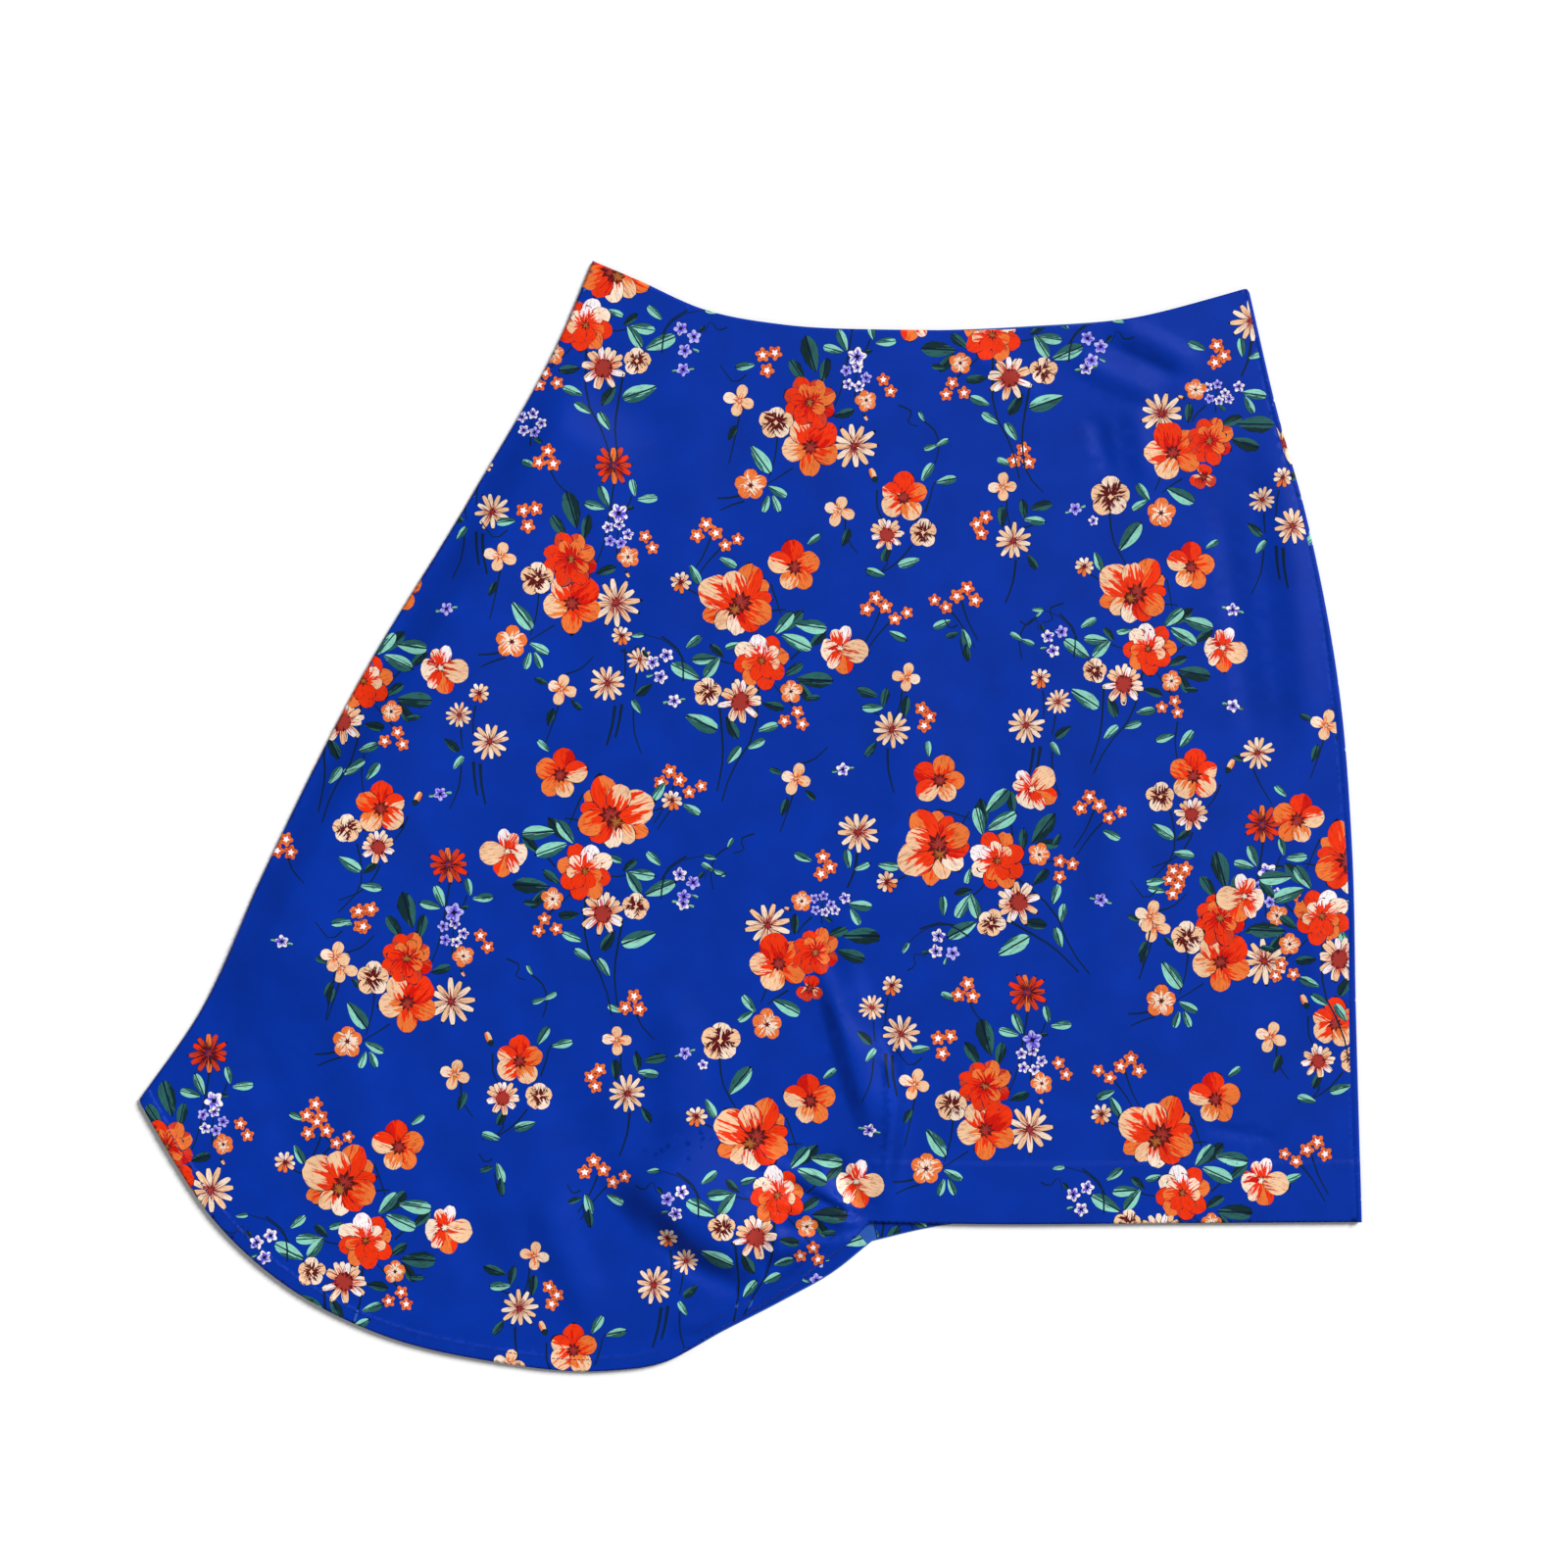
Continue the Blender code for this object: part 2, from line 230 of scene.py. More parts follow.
FINE_RIDGES: tuple[Ridge, ...] = (
    Ridge("valley right of the slash seam", (76, -122), (86, -168), (76, -236), -1.4, 7, 5, 0.2),
    Ridge("valley above the slash", (42, -52), (52, -100), (74, -142), -1.8, 13, 10),
    Ridge("hollow at the gather", (46, -196), (54, -214), (66, -232), -2.0, 9, 10),
    Ridge("upper pleat of the gather", (66, -236), (44, -222), (18, -208), 1.6, 6, 7, 0.25),
    Ridge("second pleat of the gather", (66, -239), (40, -236), (8, -224), 1.3, 5, 6, 0.25),
    Ridge("valley between pleats", (68, -238), (44, -229), (16, -216), -1.6, 5, 5, 0.25),
    Ridge("valley inside the lip", (70, -243), (42, -246), (8, -240), -2.2, 7, 8, 0.25),
    Ridge("lip of the gather", (68, -243), (48, -258), (12, -272), 1.8, 6, 5, 0.25),
    Ridge("valley below the pouch", (-60, -222), (-38, -262), (18, -284), -2.0, 12, 12),
    Ridge("small pleat over the sunflower", (-2, -190), (10, -204), (34, -214), 1.2, 8, 8),
    Ridge("hollow left of the pouch", (-104, -150), (-100, -196), (-76, -236), -1.8, 24, 26),
    Ridge("band above the long hem", (-196, -196), (-168, -240), (-148, -296), -1.4, 26, 22),
    Ridge("long band through the middle", (96, 120), (90, 20), (84, -80), 0.9, 26, 22),
    Ridge("long band on the right", (214, 60), (212, -40), (206, -132), 0.9, 24, 20),
    Ridge("hollow right of the middle", (142, 96), (140, 0), (134, -120), -0.8, 28, 28),
    Ridge("valley beside the right roll", (278, 205), (287, 120), (301, 30), -1.3, 14, 12),
    Ridge("second band at the right", (330, 0), (334, -70), (338, -140), 0.9, 16, 14),
    Ridge("trough under the waist", (205, 281), (232, 269), (256, 258), -1.1, 7, 7),
    Ridge("upright trough below it", (204, 240), (207, 222), (214, 198), -1.3, 9, 9),
    Ridge("smudge on the deep hem", (266, -184), (292, -188), (316, -192), -0.9, 6, 6),
    Ridge("soft band from the waist", (-30, 262), (-44, 160), (-62, 60), 0.9, 30, 30),
    Ridge("hollow beside it", (-92, 200), (-118, 110), (-150, 20), -1.0, 30, 28),
    Ridge("band in the lower left", (-252, -60), (-236, -150), (-214, -232), 1.0, 28, 28),
    Ridge("hollow in the lower left", (-292, -120), (-276, -180), (-250, -240), -1.0, 18, 18),
    Ridge("ripple across the upper right", (120, 276), (150, 262), (176, 240), 0.7, 10, 10),
)


class Edge(Enum):
    """The four edges of a panel."""

    LEFT = "left"
    RIGHT = "right"
    WAIST = "waist"
    HEM = "hem"


@dataclass(frozen=True)
class EdgeLine:
    """An edge of a panel as a line, with how far inside it a place lies.

    A side edge is read as x over y and a waist or hem edge as y over x, so the distance is
    the gap along that axis times the cosine of the edge's slope.
    """

    edge: Edge
    line: Array

    def reach(self, x: Array, y: Array) -> tuple[Array, Array]:
        """The distance inside the edge, and the unit vector that points out of the cloth there.

        Args:
            x: places across, in mm.
            y: places towards the waist, in mm.

        Returns:
            (distance, outward), with outward one row a place.
        """
        upright = self.edge in (Edge.LEFT, Edge.RIGHT)
        along, across = (1, 0) if upright else (0, 1)
        order = np.argsort(self.line[:, along])
        key, value = self.line[order, along], self.line[order, across]
        slope = np.gradient(value, key)
        at = y if upright else x
        there = np.interp(at, key, value)
        lean = np.interp(at, key, slope)
        cosine = 1 / np.sqrt(1 + lean * lean)
        sign = 1.0 if self.edge in (Edge.LEFT, Edge.HEM) else -1.0
        gap = (x if upright else y) - there
        out = np.stack([-cosine, lean * cosine], axis=1) if upright else np.stack([lean * cosine, -cosine], axis=1)
        return sign * gap * cosine, sign * out


@dataclass
class PanelPlan:
    """The plan of the front or of the back: its four edges, and its outline.

    Args:
        long_hem: spots of the lower edge left of the slash.
        short_hem: spots of the lower edge right of it.
        waist_drop: how far the middle of the waist edge sits below the other panel's.
    """

    long_hem: Spots
    short_hem: Spots
    waist_drop: float = 0.0
    lines: dict[Edge, EdgeLine] = field(init=False)

    def __post_init__(self) -> None:
        """Works out the four edge lines."""
        waist = smooth_curve(WAIST, np.linspace(0, 1, 120))
        span = np.clip((waist[:, 0] - 84) / 168, 0, 1)
        waist[:, 1] -= self.waist_drop * np.sin(math.pi * span) ** 2
        hem = np.concatenate(
            [
                smooth_curve(self.long_hem, np.linspace(0, 1, 150)),
                smooth_curve(self.short_hem, np.linspace(0, 1, 80))[1:],
            ]
        )
        left = smooth_curve(LEFT_SIDE, np.linspace(0, 1, 150))
        right = smooth_curve(RIGHT_SIDE, np.linspace(0, 1, 150))
        left[:, 0] += EDGE_INSET
        right[:, 0] -= EDGE_INSET
        self.lines = {
            Edge.WAIST: EdgeLine(Edge.WAIST, waist),
            Edge.HEM: EdgeLine(Edge.HEM, hem),
            Edge.LEFT: EdgeLine(Edge.LEFT, left),
            Edge.RIGHT: EdgeLine(Edge.RIGHT, right),
        }

    def outline(self, right_shift: Callable[[Array], Array]) -> Array:
        """The closed outline, counter-clockwise, with its right side moved out by right_shift(y)."""
        waist, hem = self.lines[Edge.WAIST].line, self.lines[Edge.HEM].line
        left, right = self.lines[Edge.LEFT].line, self.lines[Edge.RIGHT].line.copy()
        right[:, 0] += right_shift(right[:, 1])
        low = [left[::1], hem[1:-1], right[::-1], waist[::-1][1:-1]]
        ring = np.concatenate(low)
        return even_ring(ring, 3.2)


def even_ring(ring: Array, step: float) -> Array:
    """A closed line with points about one step apart, its sharp corners kept.

    Args:
        ring: corners of the closed line.
        step: the wanted spacing, in mm.

    Returns:
        The points, each stretch between corners divided evenly.
    """
    ring = ring[np.linalg.norm(ring - np.roll(ring, 1, axis=0), axis=1) > 1e-6]
    before = ring - np.roll(ring, 1, axis=0)
    after = np.roll(ring, -1, axis=0) - ring
    cross = before[:, 0] * after[:, 1] - before[:, 1] * after[:, 0]
    bend = np.abs(np.arctan2(cross, (before * after).sum(1)))
    corners = np.flatnonzero(bend > 0.45)
    pieces = []
    for first, last in zip(corners, np.roll(corners, -1)):
        stop = last if last > first else last + len(ring)
        part = ring[np.arange(first, stop + 1) % len(ring)]
        at = np.concatenate([[0.0], np.cumsum(np.linalg.norm(np.diff(part, axis=0), axis=1))])
        count = max(int(round(at[-1] / step)), 1)
        where = np.linspace(0, at[-1], count + 1)[:-1]
        pieces.append(np.stack([np.interp(where, at, part[:, 0]), np.interp(where, at, part[:, 1])], axis=1))
    return np.concatenate(pieces)


FRONT_PLAN = PanelPlan(FRONT_LONG_HEM, FRONT_SHORT_HEM, FRONT_WAIST_DROP)
BACK_PLAN = PanelPlan(BACK_LONG_HEM, BACK_SHORT_HEM)


def seam_inset(y: Array) -> Array:
    """How far inside the right edge the side seam lies: 4 mm, less towards the waist."""
    return 4.2 - 1.6 * smooth_step(40, 300, y) + 0.5 * np.sin(y / 31.0)


@dataclass
class FrontRelief:
    """The height of the front's outer face over a place in the plan."""

    ridges: Sequence[Ridge]

    def height(self, x: Array, y: Array) -> Array:
        """The level of the laid front, plus its turned hems and its ridges.

        Args:
            x: places across, in mm.
            y: places towards the waist, in mm.

        Returns:
            Heights of the outer face above the floor, in mm.
        """
        inside, _ = FRONT_PLAN.lines[Edge.HEM].reach(x, y)
        on_short = smooth_step(GATHER_X - 1, GATHER_X + 4, x)
        deep = smooth_step(SHORT_HEM_DEPTH + 3, SHORT_HEM_DEPTH - 1, inside)
        narrow = smooth_step(LONG_HEM_DEPTH + 1.5, LONG_HEM_DEPTH - 0.5, inside)
        lift = HEM_LIFT * (on_short * deep + (1 - on_short) * narrow)
        total = FRONT_TOP + lift
        for ridge in self.ridges:
            total = total + ridge.rise(x, y)
        return total


@dataclass
class FrontFace:
    """Maps a place on the flat front to the outer face of the laid one.

    Within a roll's reach a of an edge, with w the distance inside it, the face turns down
    through the angle p = (pi / 2)(1 - w / a): it ends a(1 - sin p) inside the edge and
    drops by depth · (1 - cos p).
    """

    relief: FrontRelief
    faces_up: bool = True

    def place(self, flat: Array) -> Array:
        """The outer face over flat places.

        Args:
            flat: one row a place, in mm.

        Returns:
            One (x, y, z) row a place, in mm.
        """
        x, y = flat[:, 0], flat[:, 1]
        moved, drop = flat.copy(), np.zeros(len(flat))
        level = self.relief.height(x, y)
        for edge in (Edge.LEFT, Edge.WAIST, Edge.HEM):
            inside, outward = FRONT_PLAN.lines[edge].reach(x, y)
            roll = SIDE_ROLL if edge is Edge.LEFT else EDGE_ROLL
            depth = level / 2 if edge is Edge.LEFT else EDGE_ROLL
            angle = math.pi / 2 * np.clip(1 - inside / roll, 0, 1.2)
            shift = np.where(angle > 0, inside - roll * (1 - np.sin(angle)), 0)
            moved += outward * shift[:, None]
            drop += depth * (1 - np.cos(angle))
        inside, _ = FRONT_PLAN.lines[Edge.RIGHT].reach(x, y)
        from_seam = inside - seam_inset(y)
        drop += 0.45 * np.exp(-((from_seam / 0.9) ** 2))
        return np.column_stack([moved, level - drop])


@dataclass
class BackFace:
    """Maps a place on the flat back to its outer face, which looks down.

    The face turns up round the left edge as far as the seam there. At the right it turns
    all the way, p = (pi / 2)(1 - w / a) up to pi, and lies on top as far as the side seam.
    """

    relief: FrontRelief
    faces_up: bool = False

    def place(self, flat: Array) -> Array:
        """The outer face under, round and over flat places.

        Args:
            flat: one row a place, in mm; places past the right edge lie on the wrap.

        Returns:
            One (x, y, z) row a place, in mm.
        """
        x, y = flat[:, 0], flat[:, 1]
        moved, rise = flat.copy(), np.zeros(len(flat))
        inside, outward = BACK_PLAN.lines[Edge.RIGHT].reach(x, y)
        angle = math.pi / 2 * np.clip(1 - inside / SIDE_ROLL, 0, 2)
        over = inside < -SIDE_ROLL
        shift = np.where(angle > 0, inside - SIDE_ROLL * (1 - np.sin(angle)), 0)
        shift = np.where(over, 2 * inside, shift)
        moved += outward * shift[:, None]
        top = self.relief.height(moved[:, 0], moved[:, 1]) - BACK_BOTTOM
        rise += top / 2 * (1 - np.cos(angle))
        to_seam = inside + seam_inset(y)
        rise -= np.where(over, 0.45 * np.exp(-((to_seam / 0.9) ** 2)), 0)
        inside, outward = BACK_PLAN.lines[Edge.LEFT].reach(x, y)
        angle = math.pi / 2 * np.clip(1 - inside / SIDE_ROLL, 0, 1)
        shift = np.where(angle > 0, inside - SIDE_ROLL * (1 - np.sin(angle)), 0)
        moved += outward * shift[:, None]
        rise += self.relief.height(x, y) / 2 * 0.93 * (1 - np.cos(angle))
        return np.column_stack([moved, BACK_BOTTOM + rise])


@dataclass
class InnerFace:
    """Maps a flat place on a hem or facing to its face, a set distance from a panel."""

    relief: FrontRelief
    under_front: bool
    faces_up: bool = True

    def place(self, flat: Array) -> Array:
        """The face over flat places: just under the front, or lying on the back.

        Args:
            flat: one row a place, in mm.

        Returns:
            One (x, y, z) row a place, in mm.
        """
        x, y = flat[:, 0], flat[:, 1]
        if not self.under_front:
            return np.column_stack([flat, np.full(len(flat), BACK_HEM_BOTTOM + CLOTH_WALL)])
        return np.column_stack([flat, self.relief.height(x, y) - UNDER_FRONT])


def flat_grid(low: Array, high: Array, step: float) -> Array:
    """Points of a triangular grid over a rectangle, a step apart."""
    xs = np.arange(low[0], high[0], step)
    ys = np.arange(low[1], high[1], step * 0.87)
    across, down = np.meshgrid(xs, ys)
    across = across + step / 2 * (np.arange(len(ys)) % 2)[:, None]
    return np.stack([across.ravel(), down.ravel()], axis=1)


def inside_ring(points: Array, ring: Array) -> Array:
    """Whether each point is in a closed ring, by counting crossings of a ray to the right."""
    x, y = points[:, 0], points[:, 1]
    hits = np.zeros(len(points), bool)
    for (ax, ay), (bx, by) in zip(ring, np.roll(ring, -1, axis=0)):
        if ay == by:
            continue
        crosses = (ay > y) != (by > y)
        hits ^= crosses & (x < (bx - ax) * (y - ay) / (by - ay) + ax)
    return hits


@dataclass
class FlatMesh:
    """A triangulated flat shape: places, triangles, the painted shape each is on and the ring round it."""

    places: Array
    triangles: Array
    dabs: Array
    ring: Array


def triangulate(outline: Array, shapes: Sequence[Array], extra: Array) -> FlatMesh:
    """Cuts an outline into triangles along every painted edge, by constrained Delaunay.

    Args:
        outline: the closed outline, counter-clockwise.
        shapes: the shapes painted on it, later ones over earlier ones.
        extra: further points inside, so that the cloth can bend.

    Returns:
        The flat mesh, only what lies inside the outline. A triangle's dab is one more than
        its topmost shape's number, and 0 on bare ground.
    """
    low, high = outline.min(0), outline.max(0)
    corners = [outline]
    faces = [list(range(len(outline)))]
    dabs = [0]
    total = len(outline)
    for number, shape in enumerate(shapes, 1):
        if (shape.max(0) < low).any() or (shape.min(0) > high).any():
            continue
        corners.append(shape)
        faces.append(list(range(total, total + len(shape))))
        dabs.append(number)
        total += len(shape)
    corners.append(extra)
    points = [Vector(p) for p in np.concatenate(corners).tolist()]
    found = delaunay_2d_cdt(points, [], faces, 0, 1e-5, True)
    places = np.array([tuple(v) for v in found[0]])
    kept, on = [], []
    for corner, origin in zip(found[2], found[5]):
        if 0 in origin and len(corner) == 3:
            kept.append(corner)
            on.append(dabs[max(origin)])
    triangles, on = np.array(kept), np.array(on)
    side_a = places[triangles[:, 1]] - places[triangles[:, 0]]
    side_b = places[triangles[:, 2]] - places[triangles[:, 0]]
    real = np.abs(side_a[:, 0] * side_b[:, 1] - side_a[:, 1] * side_b[:, 0]) > 0
    used, index = np.unique(triangles[real], return_inverse=True)
    triangles = index.reshape(-1, 3)
    return FlatMesh(places[used], triangles, on[real], ring_of(triangles))


def ring_of(triangles: Array) -> Array:
    """The vertices of the outer ring in order, from the edges that only one triangle has."""
    sides = np.concatenate([triangles[:, [0, 1]], triangles[:, [1, 2]], triangles[:, [2, 0]]])
    count = int(triangles.max()) + 1
    key = sides[:, 0].astype(np.int64) * count + sides[:, 1]
    twin = sides[:, 1].astype(np.int64) * count + sides[:, 0]
    rim = sides[~np.isin(key, twin)]
    follows = dict(rim.tolist())
    ring = [int(rim[0, 0])]
    while follows[ring[-1]] != ring[0]:
        ring.append(follows[ring[-1]])
    return np.array(ring)


def face_normals(face: object, flat: Array) -> Array:
    """Unit normals of a mapped face, from differences of 0.2 mm either way in the flat."""
    step = 0.2
    along = face.place(flat + [step, 0]) - face.place(flat - [step, 0])
    up = face.place(flat + [0, step]) - face.place(flat - [0, step])
    normal = np.cross(along, up)
    normal /= np.maximum(np.linalg.norm(normal, axis=1), 1e-12)[:, None]
    return normal if face.faces_up else -normal


def linear(code: str) -> tuple[float, float, float, float]:
    """An sRGB hex value as linear light, with alpha 1."""
    parts = [int(code[i : i + 2], 16) / 255 for i in (1, 3, 5)]
    light = [p / 12.92 if p <= 0.04045 else ((p + 0.055) / 1.055) ** 2.4 for p in parts]
    return (*light, 1.0)


class Ink(Enum):
    """The printed colours, as sRGB hex values."""

    GROUND = "#002d97"
    LINE = "#060d2e"
    RED = "#e4320a"
    DEEP_RED = "#c81206"
    BRICK = "#c63a22"
    ORANGE = "#e27334"
    CREAM = "#e8bf98"
    PALE = "#efdac4"
    WHITE = "#f0ebee"
    HEART = "#5a1014"
    DISC = "#9d312a"
    OCHRE = "#a8622a"
    LEAF_DARK = "#0c2a2e"
    LEAF_MID = "#285c5a"
    MINT = "#86cdb9"
    VIOLET = "#5b4fd0"
    LILAC = "#b7b5f5"
    STEM = "#08203a"


class Form(Enum):
    """How the material reads a painted shape: its name, then round and rib, each 0 or 1."""

    PLAIN = ("plain", 0.0, 0.0)
    PETAL = ("petal", 0.0, 0.0)
    ROUND = ("round", 1.0, 0.0)
    LEAF = ("leaf", 0.0, 1.0)


@dataclass(frozen=True)
class Wash:
    """A second ink over a shape's first, where along · X + across · Y + level is above 0.

    X runs from a petal's foot to its tip, or out from the middle of a round shape, and Y
    from one of its long sides, -1, to the other, 1. The material roughens the border.
    """

    ink: Ink
    along: float
    across: float
    level: float


NO_WASH = Wash(Ink.GROUND, 0.0, 0.0, -9.0)


def tongue(ink: Ink, reach: float = 0.5) -> Wash:
    """Flames from the foot or the middle, out to a share of the length."""
    return Wash(ink, -1.0, 0.0, reach)


def tip(ink: Ink, start: float = 0.5) -> Wash:
    """The outer end, from a share of the length."""
    return Wash(ink, 1.0, 0.0, -start)


def side(ink: Ink, start: float = 0.0) -> Wash:
    """One long side, from a share of the half width."""
    return Wash(ink, 0.0, 1.0, -start)


@dataclass(frozen=True)
class Dab:
    """What one painted shape tells the material.

    Args:
        ink: its first ink.
        wash: its second ink.
        line: the dark line's width as a share of the half width, or -1 for none.
        form: how it is read.
        to_spot: the matrix that takes (x, y, 1) in the plan to its own X and Y.
        seed: where in the material's noise it lies.
    """

    ink: Ink
    wash: Wash
    line: float
    form: Form
    to_spot: Array
    seed: float


@dataclass
class Paint:
    """Flat shapes and what each tells the material, later ones over earlier ones."""

    shapes: list[Array] = field(default_factory=list)
    dabs: list[Dab] = field(default_factory=lambda: [Dab(Ink.GROUND, NO_WASH, -1.0, Form.PLAIN, np.zeros((2, 3)), 0.0)])

    def add(self, points: Array, dab: Dab) -> None:
        """Adds a closed shape."""
        self.shapes.append(points)
        self.dabs.append(dab)


def petal_ring(length: float, width: float, foot: float, count: int) -> Array:
    """A petal along x, from foot to its tip.

    At the share s of its length its half width is width / 2 · sin(pi · s ** 1.35) ** 0.55.
    The material draws the dark line along the same curve.
    """
    s = foot / length + (1 - foot / length) * (1 - np.cos(np.linspace(0, math.pi, count))) / 2
    half = width / 2 * np.abs(np.sin(math.pi * s**1.35)) ** 0.55
    lower = np.stack([s * length, -half], axis=1)
    upper = np.stack([s * length, half], axis=1)[-2 : 0 if foot == 0 else None : -1]
    return np.concatenate([lower, upper])


@dataclass(frozen=True)
class Petal:
    """One petal of a broad flower: where it points, its size and its inks."""

    turn: float
    length: float
    width: float
    ink: Ink
    wash: Wash = NO_WASH


class Tone(Enum):
    """The kinds of leaf: nearly black, plain green, with mint lights, and mint all over."""

    DARK = (Ink.LEAF_DARK, side(Ink.LEAF_MID, 0.3))
    MID = (Ink.LEAF_MID, side(Ink.LEAF_DARK, 0.15))
    MINT = (Ink.LEAF_MID, side(Ink.MINT, 0.0))
    PALE = (Ink.MINT, side(Ink.LEAF_MID, 0.2))


@dataclass
class Brush:
    """Paints motifs drawn in their own millimetres, moved, turned, sized or mirrored into place."""

    paint: Paint
    rng: np.random.Generator
    matrix: Array = field(default_factory=lambda: np.eye(2))
    origin: Array = field(default_factory=lambda: np.zeros(2))

    def at(self, x: float, y: float, turn: float = 0.0, size: float = 1.0, mirror: bool = False) -> Brush:
        """A brush with its own origin and axes, given in this one's."""
        c, s = math.cos(math.radians(turn)), math.sin(math.radians(turn))
        spin = size * np.array([[c, -s], [s, c]])
        if mirror:
            spin = spin @ np.diag([-1.0, 1.0])
        return Brush(self.paint, self.rng, self.matrix @ spin, self.origin + self.matrix @ np.array([x, y]))

    def fill(
        self,
        points: Array,
        ink: Ink,
        wash: Wash = NO_WASH,
        form: Form = Form.PLAIN,
        extent: tuple[float, float] = (1.0, 1.0),
        line: float = -1.0,
    ) -> None:
        """Paints a closed shape.

        Args:
            points: its corners, in the brush's millimetres.
            ink: its first ink.
            wash: its second ink.
            form: how the material reads it.
            extent: the lengths along x and y that make its own X and Y reach 1.
            line: the dark line's width round it in mm, or -1 for none.
        """
        placed = np.asarray(points, float) @ self.matrix.T + self.origin
        after = np.roll(placed, -1, axis=0)
        area = (placed[:, 0] * after[:, 1] - placed[:, 1] * after[:, 0]).sum()
        to_spot = np.zeros((2, 3))
        if form is not Form.PLAIN:
            to_spot[:, :2] = np.linalg.inv(self.matrix) / np.array(extent)[:, None]
            to_spot[:, 2] = -to_spot[:, :2] @ self.origin
        share = line / extent[1] if line > 0 else -1.0
        dab = Dab(ink, wash, share, form, to_spot, float(self.rng.uniform(0, 60)))
        self.paint.add(placed if area > 0 else placed[::-1], dab)

    def stroke(self, spots: Spots, wide: float, ink: Ink, thin: float = 0.4) -> None:
        """Paints a line through spots that narrows to the share thin of its width at its end."""
        points = np.array(spots, float)
        if len(spots) > 2:
            points = smooth_curve(spots, np.linspace(0, 1, 2 * len(spots) - 1))
        along = np.gradient(points, axis=0)
        across = np.stack([-along[:, 1], along[:, 0]], axis=1) / np.linalg.norm(along, axis=1)[:, None]
        half = wide / 2 * np.linspace(1, thin, len(points))[:, None] * across
        self.fill(np.concatenate([points - half, (points + half)[::-1]]), ink)

    def petal(
        self, turn: float, length: float, width: float, ink: Ink, wash: Wash = NO_WASH, foot: float = 0.0
    ) -> None:
        """Paints one lined petal that points along turn."""
        count = 5 if length < 8 else 6 if length < 15 else 8
        ring = petal_ring(length, width, foot, count)
        ring = ring * (1 + self.rng.normal(0, 0.03, ring.shape))
        self.at(0, 0, turn).fill(ring, ink, wash, Form.PETAL, (length, width / 2), 0.42)

    def burst(self, radius: float, spikes: int, ink: Ink, inner: float = 0.6, wash: Wash = NO_WASH) -> None:
        """Paints an uneven star round the origin."""
        angle = np.linspace(0, 2 * math.pi, 2 * spikes, endpoint=False)
        r = radius * np.where(np.arange(2 * spikes) % 2 == 0, self.rng.uniform(0.85, 1.15, 2 * spikes), inner)
        self.fill(np.stack([r * np.cos(angle), r * np.sin(angle)], axis=1), ink, wash, Form.ROUND, (radius, radius))

    def lobed(self, radius: float, ink: Ink, wash: Wash) -> None:
        """Paints a small flower of five joined lobes, r = radius · (0.84 + 0.16 cos(5 · angle))."""
        angle = np.linspace(0, 2 * math.pi, 15, endpoint=False)
        r = radius * (0.84 + 0.16 * np.cos(5 * angle))
        self.fill(np.stack([r * np.cos(angle), r * np.sin(angle)], axis=1), ink, wash, Form.ROUND, (radius, radius), 0.42)

    def broad(self, petals: Sequence[Petal], heart: float) -> None:
        """Paints a poppy or an anemone: its petals, then its dark heart and stamens."""
        for petal in petals:
            self.petal(petal.turn, petal.length, petal.width, petal.ink, petal.wash, 0.35 * heart)
        self.burst(heart, 9, Ink.HEART, 0.6, tongue(Ink.DISC, 0.42))

    def ring_of_petals(
        self, inks: Sequence[Ink], length: float, width: float, start: float, wash: Wash = NO_WASH, foot: float = 0.0
    ) -> None:
        """Paints petals evenly round the origin, one for each ink."""
        for number, ink in enumerate(inks):
            turn = start + 360 / len(inks) * number + self.rng.normal(0, 3)
            self.petal(float(turn), length * self.rng.uniform(0.9, 1.06), width, ink, wash, foot)


def poppy(brush: Brush) -> None:
    """The large open flower, 46 mm across: red and orange with cream patches."""
    brush.broad(
        (
            Petal(40, 20.5, 12, Ink.ORANGE, tongue(Ink.RED, 0.4)),
            Petal(14, 19, 10, Ink.RED, tongue(Ink.DEEP_RED, 0.4)),
            Petal(100, 17, 12, Ink.RED, side(Ink.DEEP_RED)),
            Petal(73, 24.5, 17, Ink.RED, side(Ink.ORANGE)),
            Petal(205, 25, 13, Ink.ORANGE, tongue(Ink.RED, 0.6)),
            Petal(228, 21, 12, Ink.ORANGE, tip(Ink.CREAM, 0.5)),
            Petal(160, 27, 22, Ink.RED, tip(Ink.CREAM, 0.6)),
            Petal(262, 20, 13, Ink.RED, tip(Ink.PALE, 0.42)),
            Petal(112, 20, 15, Ink.RED, tip(Ink.CREAM, 0.62)),
            Petal(300, 19, 14, Ink.RED, tongue(Ink.DEEP_RED, 0.45)),
            Petal(335, 20.5, 16, Ink.ORANGE, tongue(Ink.RED, 0.5)),
        ),
        7.5,
    )
    brush.at(-3.5, -4).burst(5.5, 8, Ink.HEART, 0.6, tongue(Ink.OCHRE, 0.4))


def anemone(brush: Brush) -> None:
    """The five-petalled flower, 32 mm across, of the first spray."""
    brush.broad(
        (
            Petal(100, 16.5, 14, Ink.RED, side(Ink.DEEP_RED)),
            Petal(22, 15.5, 14, Ink.ORANGE, tongue(Ink.RED, 0.45)),
            Petal(307, 15, 12, Ink.ORANGE, tongue(Ink.RED, 0.4)),
            Petal(250, 14, 12, Ink.ORANGE, tip(Ink.CREAM, 0.6)),
            Petal(165, 16.5, 14, Ink.RED, side(Ink.CREAM)),
        ),
        5.2,
    )


